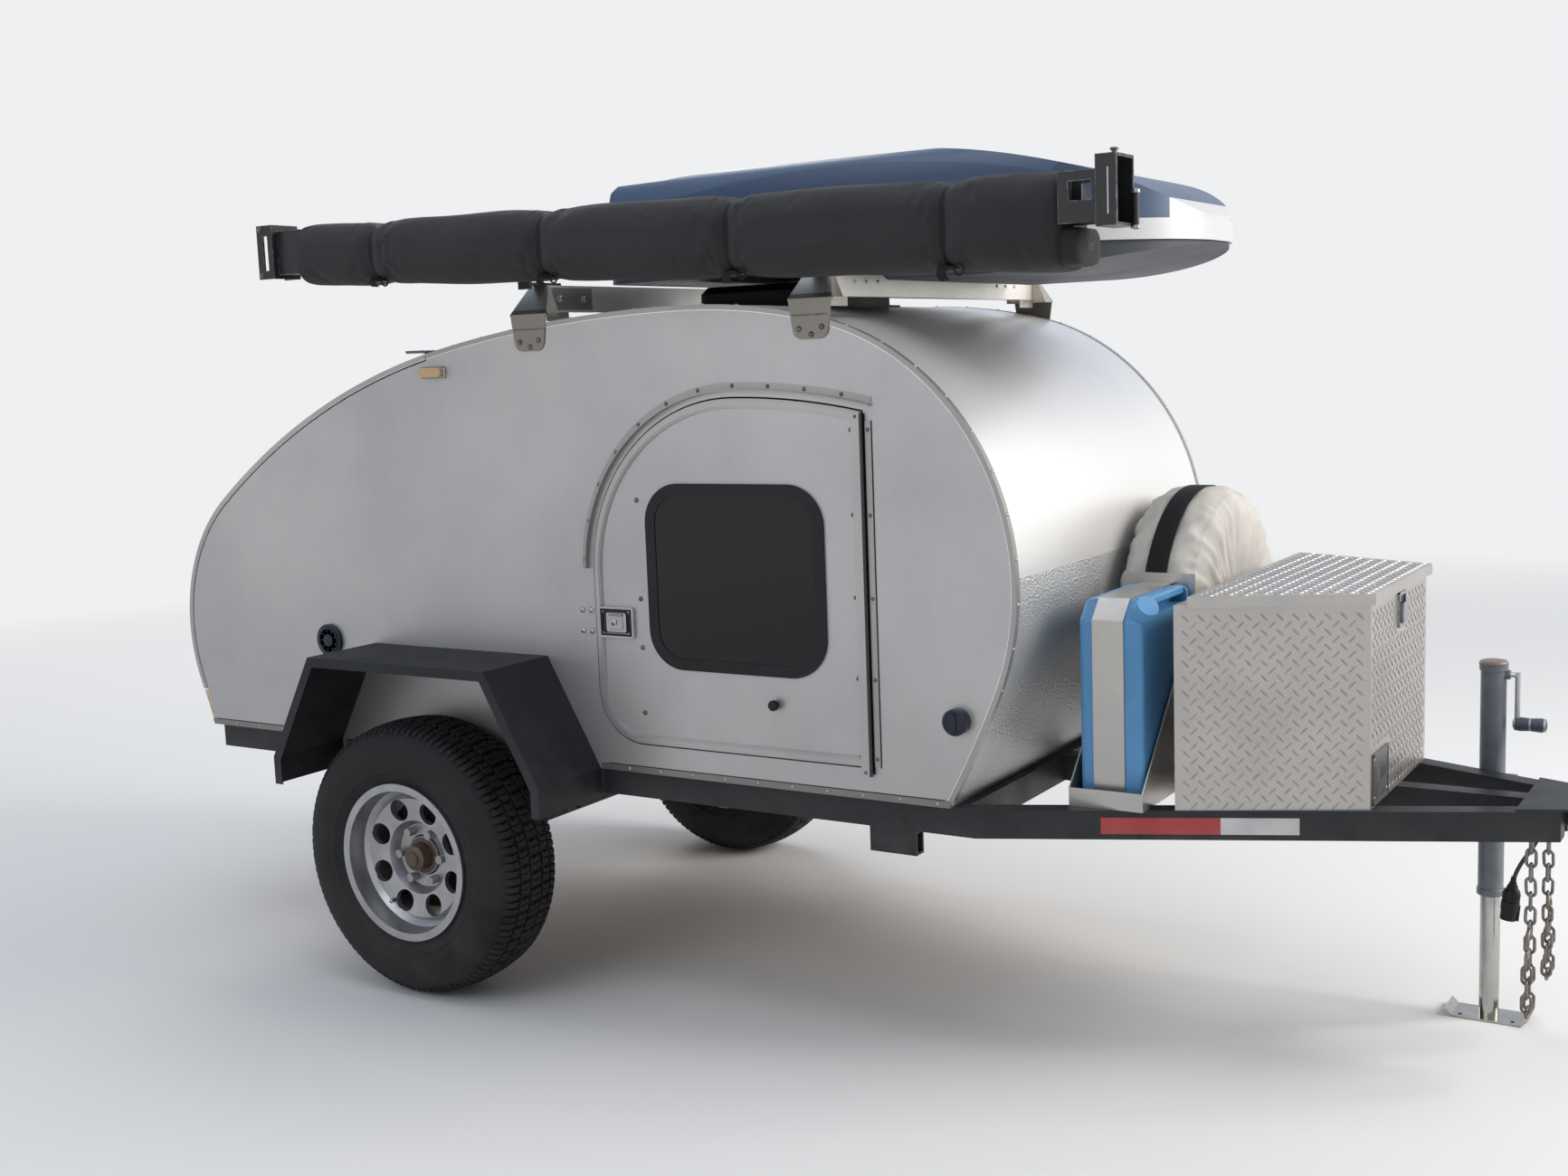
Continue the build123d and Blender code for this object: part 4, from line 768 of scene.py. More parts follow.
# %% A section carried along a line, and a slab
def swept(line, section, side, closed=False):
    """Section points (sideways, upwards) placed square to each point of a line, with faces between them."""
    line, section = np.asarray(line, float), np.asarray(section, float)
    ahead = np.roll(line, -1, 0) - np.roll(line, 1, 0) if closed else np.gradient(line, axis=0)
    ahead /= np.linalg.norm(ahead, axis=1, keepdims=True)
    across = np.broadcast_to(np.asarray(side, float), line.shape)
    across = across - (across * ahead).sum(1, keepdims=True) * ahead
    across /= np.linalg.norm(across, axis=1, keepdims=True)
    up = np.cross(ahead, across)
    points = line[:, None] + section[None, :, :1] * across[:, None] + section[None, :, 1:] * up[:, None]
    faces = grid_faces(len(line), len(section), wrap_rows=closed, wrap_columns=True).tolist()
    if not closed:
        n, last = len(section), (len(line) - 1) * len(section)
        faces += [list(range(n))[::-1], [last + k for k in range(n)]]
    return points.reshape(-1, 3), faces


def circle(radius, count):
    """Round section."""
    turn = np.linspace(0, 2 * math.pi, count, endpoint=False)
    return np.stack([radius * np.cos(turn), radius * np.sin(turn)], axis=1)


def strap_section(width, thick):
    """Flat strip with rounded long edges, as sideways and upwards pairs."""
    w, t = width / 2, thick / 2
    return np.array([(-w, -t * 0.4), (-w + t, -t), (w - t, -t), (w, -t * 0.4), (w, t * 0.4), (w - t, t),
                     (-w + t, t), (-w, t * 0.4)])


def slab(low, high, ease=0.0008):
    """Box between two corners with eased edges: rings of eight points at four levels."""
    (x0, y0, z0), (x1, y1, z1) = np.minimum(low, high), np.maximum(low, high)
    ease = min(ease, (x1 - x0) / 3, (y1 - y0) / 3, (z1 - z0) / 3)

    def level(z, inset):
        a, b, c, d = x0 + inset, x1 - inset, y0 + inset, y1 - inset
        return [(a + ease, c, z), (b - ease, c, z), (b, c + ease, z), (b, d - ease, z), (b - ease, d, z),
                (a + ease, d, z), (a, d - ease, z), (a, c + ease, z)]

    points = level(z0, ease) + level(z0 + ease, 0) + level(z1 - ease, 0) + level(z1, ease)
    faces = grid_faces(4, 8, wrap_columns=True).tolist()
    faces += [list(range(8))[::-1], [24 + k for k in range(8)]]
    return np.array(points), faces


print("sweep and slab helpers ready")

# %% [markdown]
# ## Cloth helpers
# Each cloth piece is a loft: rings of points round the piece, placed one after another. The ring's points
# are evenly spaced along the outline, so the grid stays square enough for a cloth simulation, and the
# same numbers give the UV map in metres that the weave needs.

# %% Rings, lofts and their UV map
def rounded_ring(wide, high, corner, count):
    """Even points round a rectangle with round corners, from the middle of its lower side."""
    w, h, turn = wide / 2 - corner, high / 2 - corner, np.linspace(0, math.pi / 2, 12)
    quarter = corner * np.stack([np.sin(turn), -np.cos(turn)], axis=1)
    corners = []
    for k, (sx, sy) in enumerate(((1, -1), (1, 1), (-1, 1), (-1, -1))):
        c, s = math.cos(k * math.pi / 2), math.sin(k * math.pi / 2)
        corners.append(quarter @ np.array([[c, s], [-s, c]]) + np.array([sx * w, sy * h]))
    line = np.concatenate([[(0, -high / 2)], *corners, [(0, -high / 2)]])
    gone = np.concatenate([[0], np.cumsum(np.linalg.norm(np.diff(line, axis=0), axis=1))])
    at = np.linspace(0, gone[-1], count, endpoint=False)
    return np.stack([np.interp(at, gone, line[:, 0]), np.interp(at, gone, line[:, 1])], axis=1)


def loft_faces(rows, columns):
    """Quads between the rings, and one face over each end."""
    faces = grid_faces(rows, columns, wrap_columns=True).tolist()
    return faces + [list(range(columns))[::-1], [(rows - 1) * columns + k for k in range(columns)]]


def metre_map(made, rings):
    """UV map in metres: U is the distance from ring to ring, V the distance round each ring."""
    rings = np.asarray(rings, float)
    rows, columns = rings.shape[:2]
    step = np.linalg.norm(np.diff(rings, axis=0), axis=2).mean(axis=1)
    along = np.concatenate([[0], np.cumsum(step)])
    girth = np.linalg.norm(np.roll(rings, -1, 1) - rings, axis=2).sum(axis=1).max()
    uv = np.stack(np.broadcast_arrays(along[:, None], (np.arange(columns) / columns * girth)[None]),
                  axis=-1).reshape(-1, 2)
    mesh = made.data
    vertex = np.empty(len(mesh.loops), np.int32)
    mesh.loops.foreach_get("vertex_index", vertex)
    at = uv[vertex % len(uv)]
    total = np.empty(len(mesh.polygons), np.int32)
    mesh.polygons.foreach_get("loop_total", total)
    face = np.repeat(np.arange(len(total)), total)
    highest = np.zeros(len(total))
    np.maximum.at(highest, face, at[:, 1])
    wrapped = (highest[face] - at[:, 1] > girth / 2) & (total[face] == 4)
    at[wrapped, 1] += girth
    layer = mesh.uv_layers.new(name="metres")
    layer.data.foreach_set("uv", at.astype(np.float32).ravel())


def waves(u, v, terms):
    """Sum of sines: each term is (height, waves along u, waves along v, start)."""
    return sum(high * np.sin(a * u + b * v + start) for high, a, b, start in terms)


def points_of(mesh):
    """A mesh's points as an array of x, y, z."""
    points = np.empty(len(mesh.vertices) * 3, np.float32)
    mesh.vertices.foreach_get("co", points)
    return points.reshape(-1, 3)


def inflate(made, held, looser, most, pressure=4.0, frames=20):
    """Cloth under a small pressure with some vertices held; looser adds cloth, most caps the movement."""
    before = points_of(made.data)
    group = made.vertex_groups.new(name="held")
    group.add([int(k) for k in np.flatnonzero(held)], 1.0, "REPLACE")
    cloth = made.modifiers.new("cloth", "CLOTH")
    cloth.settings.use_pressure = True
    cloth.settings.uniform_pressure_force = pressure
    cloth.settings.effector_weights.gravity = 0.0
    cloth.settings.vertex_group_mass = "held"
    cloth.settings.shrink_min = -looser
    cloth.settings.quality = 5
    cloth.collision_settings.use_collision = False
    cloth.point_cache.frame_end = frames
    scene = bpy.context.scene
    for frame_number in range(1, frames + 1):
        scene.frame_set(frame_number)
        bpy.context.view_layer.update()
    settled = bpy.data.meshes.new_from_object(made.evaluated_get(bpy.context.evaluated_depsgraph_get()))
    moved = points_of(settled) - before
    bpy.data.meshes.remove(settled)
    made.modifiers.clear()
    made.vertex_groups.clear()
    scene.frame_set(1)
    far = np.linalg.norm(moved, axis=1, keepdims=True)
    moved *= np.minimum(1.0, most / np.maximum(far, 1e-9))
    made.data.vertices.foreach_set("co", (before + moved).ravel())
    made.data.update()
    print(made.name, "cloth moved by up to", round(float(far.max()) * 1000, 1), "mm")


def finer(made):
    """Subdivision surface, the same in the view and in a render."""
    sub = made.modifiers.new("finer", "SUBSURF")
    sub.levels = 1
    sub.render_levels = 1


print("cloth helpers ready; simulation", "on")

# %% [markdown]
# ## The spare wheel's cover
# A round cover of pale canvas is pulled over the spare tyre. Its tread panel is smooth and a little
# slack; the face panels are gathered by elastic, so many narrow folds run in from the seam. A black
# webbing band goes round the tread. The cloth follows the tyre closely, so the folds are made by moving
# the points of a turned profile along its normals, which keeps the seam exactly round.

# %% The cover's profile
SPARE = np.array([0.802, 0.232, 0.905])
SPARE_R = 0.355
face_half = arc_through((0.275, 0.108), (0.336, 0.084), (0.355, 0.020), 22)
# Distance from the wheel's axis and from its middle plane, from the centre of one face to the other
face_flat = [(0.006, 0.1045), (0.05, 0.105), (0.10, 0.1055), (0.15, 0.106), (0.20, 0.1068), (0.24, 0.1074)]
half_line = np.concatenate([face_flat, face_half])
cover_line = np.concatenate([half_line, [(SPARE_R, 0.0)], half_line[::-1] * (1, -1)])
gone = np.concatenate([[0], np.cumsum(np.linalg.norm(np.diff(cover_line, axis=0), axis=1))])
across = np.linspace(0, gone[-1], 150)
radius, off = np.interp(across, gone, cover_line[:, 0]), np.interp(across, gone, cover_line[:, 1])
slope_r, slope_o = np.gradient(radius), np.gradient(off)
out = np.stack([-slope_o, slope_r], axis=1)
out /= np.linalg.norm(out, axis=1, keepdims=True)
out[0], out[-1] = (0, 1), (0, -1)
print("cover from centre to centre:", round(float(gone[-1]), 3), "m")

# %% Folds and the cover itself
turn = np.linspace(0, 2 * math.pi, 260, endpoint=False)
phi, rad = turn[:, None], radius[None, :]
face_part = np.clip((rad - 0.10) / 0.20, 0, 1) * np.clip((np.abs(off)[None] - 0.055) / 0.02, 0, 1)
gather = waves(phi, rad, [(0.0020, 23, 9, 0.3), (0.0014, 37, -14, 1.7), (0.0009, 61, 20, 4.0),
                          (0.0013, 11, 24, 2.2)])
# A power below one makes the folds' flanks steeper; a slow wave makes them deeper on one side
gather = np.sign(gather) * np.abs(gather) ** 0.8 * 0.0030 ** 0.2
gather = gather * (1 + 0.6 * np.sin(3 * phi + 1.0)) * face_part
slack = waves(phi, off[None] * 30, [(0.0012, 7, 2.0, 0.5), (0.0010, 16, -3.0, 2.0), (0.0006, 34, 4.0, 1.1)])
slack = slack * (np.abs(off)[None] < 0.095)
seam = 0.0022 * np.exp(-((np.abs(off)[None] - 0.088) / 0.0022) ** 2) * (rad > 0.30)
groove = -0.0022 * np.exp(-((off[None] + 0.002) / 0.028) ** 4) * (rad > 0.34)
lift = gather + slack + seam + groove - 0.0040
ring_r = rad + lift * out[None, :, 0]
ring_o = off[None] + lift * out[None, :, 1]
points = np.stack([SPARE[0] + ring_o, SPARE[1] + ring_r * np.cos(phi), SPARE[2] + ring_r * np.sin(phi)],
                  axis=-1)
rings = points.transpose(1, 0, 2)
cover = piece("spare_wheel_cover", rings, loft_faces(*rings.shape[:2]), "trailer", COVER, "cover_cloth")
metre_map(cover, rings)
outward(cover)
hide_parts("spare_cover")
print("spare cover folds between", round(float(lift.min()) * 1000, 1), "and",
      round(float(lift.max()) * 1000, 1), "mm")

# %% [markdown]
# The webbing band is a flat section carried round the tread, and its buckle is a handful of slabs. The
# same buckle, smaller, closes the straps of the awning bag.

# %% Band and buckle of the cover
BAND_R = 0.3535
BUCKLE_TURN = math.radians(208)
band_turn = np.linspace(0, 2 * math.pi, 160, endpoint=False)
band_line = np.stack([0 * band_turn + SPARE[0] - 0.002, SPARE[1] + BAND_R * np.cos(band_turn),
                      SPARE[2] + BAND_R * np.sin(band_turn)], axis=1)
band = swept(band_line, strap_section(0.052, 0.0024), side=(1, 0, 0), closed=True)
solid("spare_cover_band", [band], "trailer", WEBBING, "cover_cloth")


def buckle(at, outwards, along, wide=0.052, long=0.062, thick=0.011):
    """Side release buckle: two halves with a waist between them, set square to a strap."""
    turn = turns_to([outwards], along=along)[0]
    shapes = [slab((-long / 2, -wide / 2, 0), (-0.004, wide / 2, thick), 0.003),
              slab((0.004, -wide * 0.36, 0.001), (long / 2, wide * 0.36, thick * 0.85), 0.003),
              slab((-0.006, -wide * 0.30, 0.001), (0.006, wide * 0.30, thick * 0.7), 0.002),
              slab((long / 2 - 0.008, -wide / 2, 0.0015), (long / 2, wide / 2, thick * 0.8), 0.002)]
    return [(p @ turn.T + np.asarray(at, float), f) for p, f in shapes]


c, s = math.cos(BUCKLE_TURN), math.sin(BUCKLE_TURN)
spot = SPARE + np.array([-0.002, SPARE_R * c, SPARE_R * s])
solid("spare_band_buckle", buckle(spot, (0, c, s), (0, -s, c)), "trailer", BLACK, "cover_cloth")
print("band of webbing:", round(2 * math.pi * BAND_R, 2), "m round")

# %% [markdown]
# ## The awning bag
# The side awning is rolled up in a long bag of heavy black canvas, cinched by four straps. Between
# the straps the cloth is slack and round, and small folds run to each strap. That is what a pressure
# simulation gives when a little extra cloth is held by rings that are too tight for it.

# %% Rings of the bag
BAG_FRONT, BAG_REAR, BAG_MID = 0.870, -1.237, -0.710
STRAP_X = np.array([-0.974, -0.434, 0.092, 0.618])
COLUMNS = 72
BAG_INSET, CINCH, SLOPE = 0.0055, 0.0058, 0.004


def bag_ring(x, inset):
    """Ring of the bag at x: a rounded rectangle whose height grows from rear to front, drawn in by inset."""
    part = (x - BAG_REAR) / (BAG_FRONT - BAG_REAR)
    low, high = 1.844 - 0.082 * part + inset, 1.998 - 0.040 * part - inset
    ring = rounded_ring(0.180 - 2 * inset, high - low, 0.046, COLUMNS)
    return np.c_[np.full(COLUMNS, x), BAG_MID + ring[:, 0], (low + high) / 2 + ring[:, 1]]


rows_x = np.linspace(BAG_REAR + 0.010, BAG_FRONT - 0.006, 236)
from_strap = rows_x[:, None] - STRAP_X
cinch = CINCH * np.exp(-(from_strap / 0.018) ** 2).max(axis=1)
slope_in = SLOPE * np.exp(-(from_strap / 0.070) ** 2).max(axis=1)
body_rings = [bag_ring(x, BAG_INSET + c + s) for x, c, s in zip(rows_x, cinch, slope_in)]


def flap_ring(x, shrink):
    """Ring of the cloth end that hangs under the front hinge, lower than the bag's own end."""
    ring = rounded_ring(0.130 * shrink, 0.076 * shrink, 0.028 * shrink, COLUMNS)
    return np.c_[np.full(COLUMNS, x), -0.718 + ring[:, 0], 1.808 + ring[:, 1]]


def shrunk(ring, x, scale):
    """A ring drawn in towards its own middle and moved to x."""
    middle = ring.mean(axis=0)
    made = middle + (ring - middle) * scale
    made[:, 0] = x
    return made


rear_rings = [shrunk(body_rings[0], BAG_REAR + back, scale)
              for back, scale in ((0.0012, 0.25), (0.0012, 0.62), (0.0025, 0.90))]
front_rings = [shrunk(body_rings[-1], BAG_FRONT - 0.0018, 0.955)]
front_rings += [flap_ring(x, scale) for x, scale in ((BAG_FRONT - 0.0010, 0.99), (0.878, 0.99),
                                                     (0.902, 0.97), (0.909, 0.88), (0.911, 0.5),
                                                     (0.9112, 0.2))]
rings = np.array(rear_rings + body_rings + front_rings)
print("rings of the bag:", len(rings), "with", COLUMNS, "points each")

# %% The bag's cloth
def strap_distance(x):
    """How far each place is from its nearest strap."""
    return np.abs(x[:, None] - STRAP_X).min(axis=1)


ring_x = rings[:, 0, 0]
sway = 0.0016 * np.sin(2 * math.pi * ring_x / 0.31 + 0.6) * (strap_distance(ring_x) > 0.05)
rings[..., 2] += sway[:, None]
bag = piece("awning_bag_cloth", rings, loft_faces(*rings.shape[:2]), "trailer", CANVAS, "awning_cloth")
metre_map(bag, rings)
outward(bag)
x_of = points_of(bag.data)[:, 0]
ends = (x_of < BAG_REAR + 0.004) | (x_of > BAG_FRONT - 0.003)
inflate(bag, (strap_distance(x_of) < 0.018) | ends, looser=0.016, most=0.006, pressure=3.0)
finer(bag)
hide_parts("awning_bag")
print("bag from", BAG_REAR, "to", BAG_FRONT, "m, faces:", len(bag.data.polygons))

# %% [markdown]
# Each strap goes once round the bag, a little outside the cinched cloth. Under the bag it has its
# buckle, a loose tail that hangs down in a slight curve, and a cord eye.

# %% Straps of the bag
STRAP_INSET, STRAP_WIDE, STRAP_THICK = 0.017, 0.026, 0.0022


def strap_tail(x, z, k):
    """Loose end under the bag; each hangs a little lower and bends another way than the one before."""
    t = np.linspace(0, 1, 14)
    line = np.c_[x + 0.003 * np.sin(3 * t + k), BAG_MID - 0.066 - 0.012 * np.sin(math.pi * t),
                 z - 0.003 - (0.018 + 0.003 * k) * t]
    return swept(line, strap_section(0.022, 0.0018), side=(1, 0, 0))


def strap_eye(x, z):
    """Cord eye beside the buckle."""
    t = np.linspace(0, 2 * math.pi, 14, endpoint=False)
    line = np.c_[x + 0.030 + 0.010 * np.cos(t), 0 * t + BAG_MID - 0.062, z - 0.010 + 0.011 * np.sin(t)]
    return swept(line, circle(0.0022, 6), side=(0, 1, 0), closed=True)


straps, fittings = [], []
for k, x in enumerate(STRAP_X):
    ring = bag_ring(x, STRAP_INSET)
    outline = shrunk(ring, x, 1 + STRAP_THICK / 0.085)
    low_z = outline[:, 2].min()
    straps.append(swept(outline, strap_section(STRAP_WIDE, STRAP_THICK), side=(1, 0, 0), closed=True))
    straps += [strap_tail(x, low_z, k), strap_eye(x, low_z)]
    fittings += buckle((x, BAG_MID - 0.045, low_z - 0.001), (0, 0, -1), (0, 1, 0), wide=0.040, long=0.050,
                       thick=0.009)
solid("awning_bag_straps", straps, "trailer", WEBBING, "awning_cloth")
solid("awning_bag_buckles", fittings, "trailer", BLACK, "awning_cloth")
print("straps on the bag at", STRAP_X.tolist())

# %% [markdown]
# ## The mattress
# A foam pad fills the cabin floor. It is seen through the doors: crowned, tufted at regular points, with
# rounded sides and piping. The tufts are held points; pressure lifts the ticking between them.

# %% Rings of the mattress
PAD_LOW, PAD_HIGH = 0.6346, 0.7470
PAD_X, PAD_HALF, PAD_POINTS = (-1.1225, 0.4675), 0.5760, 120
PAD_MIDDLE = (PAD_HIGH + PAD_LOW) / 2
pad_rows = np.concatenate([[0.0, 0.004, 0.012], np.linspace(0.03, 0.97, 58), [0.988, 0.996, 1.0]])
pad_scale = np.interp(pad_rows, [0, 0.004, 0.012, 0.03, 0.97, 0.988, 0.996, 1],
                      [0.80, 0.93, 0.985, 1, 1, 0.985, 0.93, 0.80])
rings = []
for part, scale in zip(pad_rows, pad_scale):
    wide, high = 2 * PAD_HALF - 0.06 * (1 - scale), (PAD_HIGH - PAD_LOW) * scale
    ring = rounded_ring(wide, high, 0.030 * scale, PAD_POINTS)
    x = PAD_X[0] + part * (PAD_X[1] - PAD_X[0])
    rings.append(np.c_[np.full(PAD_POINTS, x), ring[:, 0], PAD_MIDDLE + ring[:, 1]])
rings = np.array(rings)
print("rings of the mattress:", len(rings))

# %% Tufts and ticking
top = rings[..., 2] > PAD_HIGH - 0.004
tuft_x, tuft_y = 0.227 * np.arange(-3, 4) - 0.3275, 0.230 * np.arange(-2, 3)
dx = np.abs(rings[..., 0, None] - tuft_x).min(axis=-1)
dy = np.abs(rings[..., 1, None] - tuft_y).min(axis=-1)
dip = np.exp(-(dx ** 2 + dy ** 2) / 0.035 ** 2)
rings[..., 2] -= top * (0.016 * dip + 0.003)
mattress = piece("cabin_mattress", rings, loft_faces(*rings.shape[:2]), "trailer", BEDDING,
                 "mattress_cloth")
metre_map(mattress, rings)
outward(mattress)
x, y, z = points_of(mattress.data).T
tufts = ((np.abs(x[:, None] - tuft_x).min(axis=1) < 0.016)
         & (np.abs(y[:, None] - tuft_y).min(axis=1) < 0.012))
rims = (z < PAD_LOW + 0.002) | (np.abs(y) > PAD_HALF - 0.004)
ends = (x < PAD_X[0] + 0.02) | (x > PAD_X[1] - 0.02)
inflate(mattress, tufts | rims | ends, looser=0.015, most=0.005, frames=14)
finer(mattress)
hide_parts("mattress")
piping = []
for z in (PAD_HIGH - 0.009, PAD_LOW + 0.010):
    ring = rounded_ring(PAD_X[1] - PAD_X[0] - 0.002, 2 * PAD_HALF - 0.001, 0.022, PAD_POINTS)
    line = np.c_[ring[:, 0] + sum(PAD_X) / 2, ring[:, 1], np.full(PAD_POINTS, z)]
    piping.append(swept(line, circle(0.0032, 6), side=(0, 0, 1), closed=True))
solid("mattress_piping", piping, "trailer", WEBBING, "mattress_cloth")
print("mattress tufts:", len(tuft_x) * len(tuft_y))

# %% [markdown]
# ## Safety chains
# Each chain hangs from a welded eye under a drawbar rail, turns up again at its lowest link, and its
# hook is caught back in the links. A link is a stadium bent from round wire; every other one is turned
# by a quarter. One link is worked out and copied to all its places.

# %% Lines of a link and of a hook
WIRE, LINK_LONG, LINK_WIDE, LINK_STEP = 0.0035, 0.046, 0.026, 0.0317
CHAIN_X, CHAIN_Y, CHAIN_TOP = 1.643, 0.116, 0.521


HOOK_KNOTS = np.array([(0.002, 0, -0.016), (0.013, 0, -0.008), (0.0155, 0, 0.006), (0.011, 0, 0.022),
                       (0.000, 0, 0.030), (-0.011, 0, 0.024), (-0.0145, 0, 0.010)])
EYE_HALF = 0.0085


def stadium(long, wide, wire, count=20):
    """Closed line of a link in the XZ plane: two straight sides and two half circles."""
    r, straight = wide / 2 - wire, long / 2 - wide / 2
    turn = np.linspace(0, math.pi, count // 2)
    upper = np.stack([r * np.cos(turn), 0 * turn, straight + r * np.sin(turn)], axis=1)
    return np.concatenate([upper, upper * (-1, 1, -1)])


def turn_about(axis, degrees):
    """Turn about a main axis, as a 3 by 3 array."""
    return np.array(Matrix.Rotation(math.radians(degrees), 3, axis))


def hook_line():
    """The hook's bent bar: straight pieces between the knots, smoothed once."""
    at = np.linspace(0, len(HOOK_KNOTS) - 1, 30)
    line = np.stack([np.interp(at, range(len(HOOK_KNOTS)), HOOK_KNOTS[:, i]) for i in range(3)], axis=1)
    line[1:-1] = (line[:-2] + 2 * line[1:-1] + line[2:]) / 4
    return line


def eye_line():
    """The welded eye: down from the rail, half round, and up again."""
    turn = np.linspace(0, math.pi, 12)
    bend = np.stack([-EYE_HALF * np.cos(turn), 0 * turn, CHAIN_TOP - 0.004 - EYE_HALF * np.sin(turn)],
                    axis=1)
    return np.concatenate([[(-EYE_HALF, 0, CHAIN_TOP + 0.0185)], bend, [(EYE_HALF, 0, CHAIN_TOP + 0.0185)]])


print("link of", LINK_LONG, "by", LINK_WIDE, "m from wire", 2 * WIRE, "m thick")

# %% Chains
HANGING, RETURNING = 10, 4
FIRST_Z = CHAIN_TOP - 0.024 - LINK_STEP
LAST_Z = FIRST_Z - (HANGING - 1) * LINK_STEP


def link_places():
    """Places and turns of the links: the hanging strand, the lowest link across, the return strand."""
    places, turns = [(0, 0, CHAIN_TOP - 0.024)], [turn_about("Z", 90)]
    for k in range(HANGING):
        places.append((0, 0, FIRST_Z - k * LINK_STEP))
        lean = turn_about("Y", 3 * math.sin(1.3 * k))
        turns.append(turn_about("Z", 90 * (k % 2) + 7 * math.sin(2.1 * k)) @ lean)
    places.append((LINK_STEP / 2, 0, LAST_Z - LINK_LONG / 2 + WIRE))
    turns.append(turn_about("Y", 90))
    for k in range(RETURNING):
        places.append((LINK_STEP, 0, LAST_Z + WIRE + k * LINK_STEP))
        turns.append(turn_about("Z", 90 * ((k + 1) % 2) - 6 * math.sin(1.7 * k)))
    return np.array(places), turns


def chain_parts(side):
    """One chain with its eye and its hook; the return strand lies outside the hanging one."""
    unit, faces = swept(stadium(LINK_LONG, LINK_WIDE, WIRE), circle(WIRE, 8), side=(0, 1, 0), closed=True)
    places, turns = link_places()
    link_faces = [[k + i * len(unit) for k in face] for i in range(len(places)) for face in faces]
    ring = stadium(0.022, 0.022, 0.0035, 16) + (0, 0, -0.0235)
    hook = [swept(hook_line(), circle(0.0046, 10), side=(0, 1, 0)),
            swept(ring, circle(0.0036, 8), side=(0, 1, 0), closed=True),
            slab((-0.0125, -0.0015, -0.014), (-0.0100, 0.0015, 0.012), 0.0005)]
    tilt, hook_at = turn_about("Y", -24), np.array([LINK_STEP - 0.010, 0, LAST_Z + 3 * LINK_STEP + 0.040])
    parts = [(copies(unit, places, turns), link_faces)]
    parts += [(points @ tilt.T + hook_at, hook_faces) for points, hook_faces in hook]
    parts.append(swept(eye_line(), circle(0.0042, 10), side=(0, 1, 0)))
    to_side = np.array([[0, -1, 0], [side, 0, 0], [0, 0, 1]], float)
    base = np.array([CHAIN_X, side * CHAIN_Y, 0])
    return [(points @ to_side.T + base, part_faces) for points, part_faces in parts]


chains = solid("safety_chain_links", chain_parts(-1) + chain_parts(1), "trailer", CHAIN_STEEL, "chain_zinc",
               sharp=60, replaces=["safety_chains"])
print("chain faces:", len(chains.data.polygons))

# %% [markdown]
# ## The trailer's cable and plug
# A short rubber cable comes down out of the middle beam and ends in a round seven-pin plug. Its line is
# one smooth spline, kept as a Blender curve with a round bevel: few points carry the whole bend, and they
# are the same points that the solid model's cable follows.

# %% Cable
CABLE_ROUTE = [(1.640, 0, 0.539), (1.640, 0, 0.512), (1.624, -0.003, 0.482), (1.604, -0.006, 0.450),
               (1.591, -0.008, 0.418), (1.589, -0.009, 0.398)]
CABLE_THICK = 0.009
curve = bpy.data.curves.new("plug_lead", "CURVE")
curve.dimensions = "3D"
spline = curve.splines.new("NURBS")
spline.points.add(len(CABLE_ROUTE) - 1)
for point, at in zip(spline.points, CABLE_ROUTE):
    point.co = (*at, 1.0)
spline.order_u = 3
spline.use_endpoint_u = True
curve.bevel_depth = CABLE_THICK / 2
curve.bevel_resolution = 6
curve.resolution_u = 16
curve.use_fill_caps = True
lead = bpy.data.objects.new("plug_lead", curve)
bpy.context.scene.collection.objects.link(lead)
curve.materials.append(LEAD)
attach(lead, "trailer")
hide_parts("plug_cable")
print("cable route points:", len(CABLE_ROUTE))

# %% [markdown]
# The plug is turned about the cable's last direction. Its grip ribs are one slab turned round the axis,
# its pins are small turned studs in the open end, and a key stands on its barrel.

# %% Plug
cable_end = np.array(CABLE_ROUTE[-1])
heading = cable_end - np.array(CABLE_ROUTE[-2])
heading /= np.linalg.norm(heading)
plug_line = [(-0.022, 0.0055), (-0.010, 0.0065), (-0.009, 0.0082), (-0.004, 0.0084), (-0.003, 0.0105),
             (0.004, 0.0125), (0.009, 0.0168), (0.014, 0.0180), (0.030, 0.0184), (0.0305, 0.0170),
             (0.033, 0.0170), (0.0335, 0.0196), (0.052, 0.0196), (0.0525, 0.0182), (0.0745, 0.0180),
             (0.0760, 0.0166), (0.0760, 0.0140), (0.070, 0.0138)]
RIBS, PINS_ROUND, PIN_CIRCLE = 18, 6, 0.0085
to_plug = turns_to([heading], along=(1, 0, 0))[0]
plug_parts = [turned(plug_line, cable_end, heading, 28)]
rib, rib_faces = slab((0.0178, -0.0008, 0.015), (0.0190, 0.0008, 0.0295), 0.0003)
for k in range(RIBS):
    round_axis = rib @ turn_about("Z", 360 * k / RIBS).T
    plug_parts.append((round_axis @ to_plug.T + cable_end, rib_faces))
pins = [(PIN_CIRCLE, 2 * math.pi * k / PINS_ROUND) for k in range(PINS_ROUND)] + [(0.0, 0.0)]
for r, turn in pins:
    centre = cable_end + to_plug @ np.array([r * math.cos(turn), r * math.sin(turn), 0])
    plug_parts.append(turned([(0.069, 0.0018), (0.0735, 0.0018), (0.0745, 0.0010)], centre, heading, 8))
key, key_faces = slab((0.0185, -0.004, 0.040), (0.0215, 0.004, 0.0755), 0.0005)
plug_parts.append((key @ to_plug.T + cable_end, key_faces))
plug = solid("lead_plug", plug_parts, "trailer", BLACK, "plug_plastic", replaces=["cable_plug"])
print("plug with", len(pins), "pins and", RIBS, "ribs")

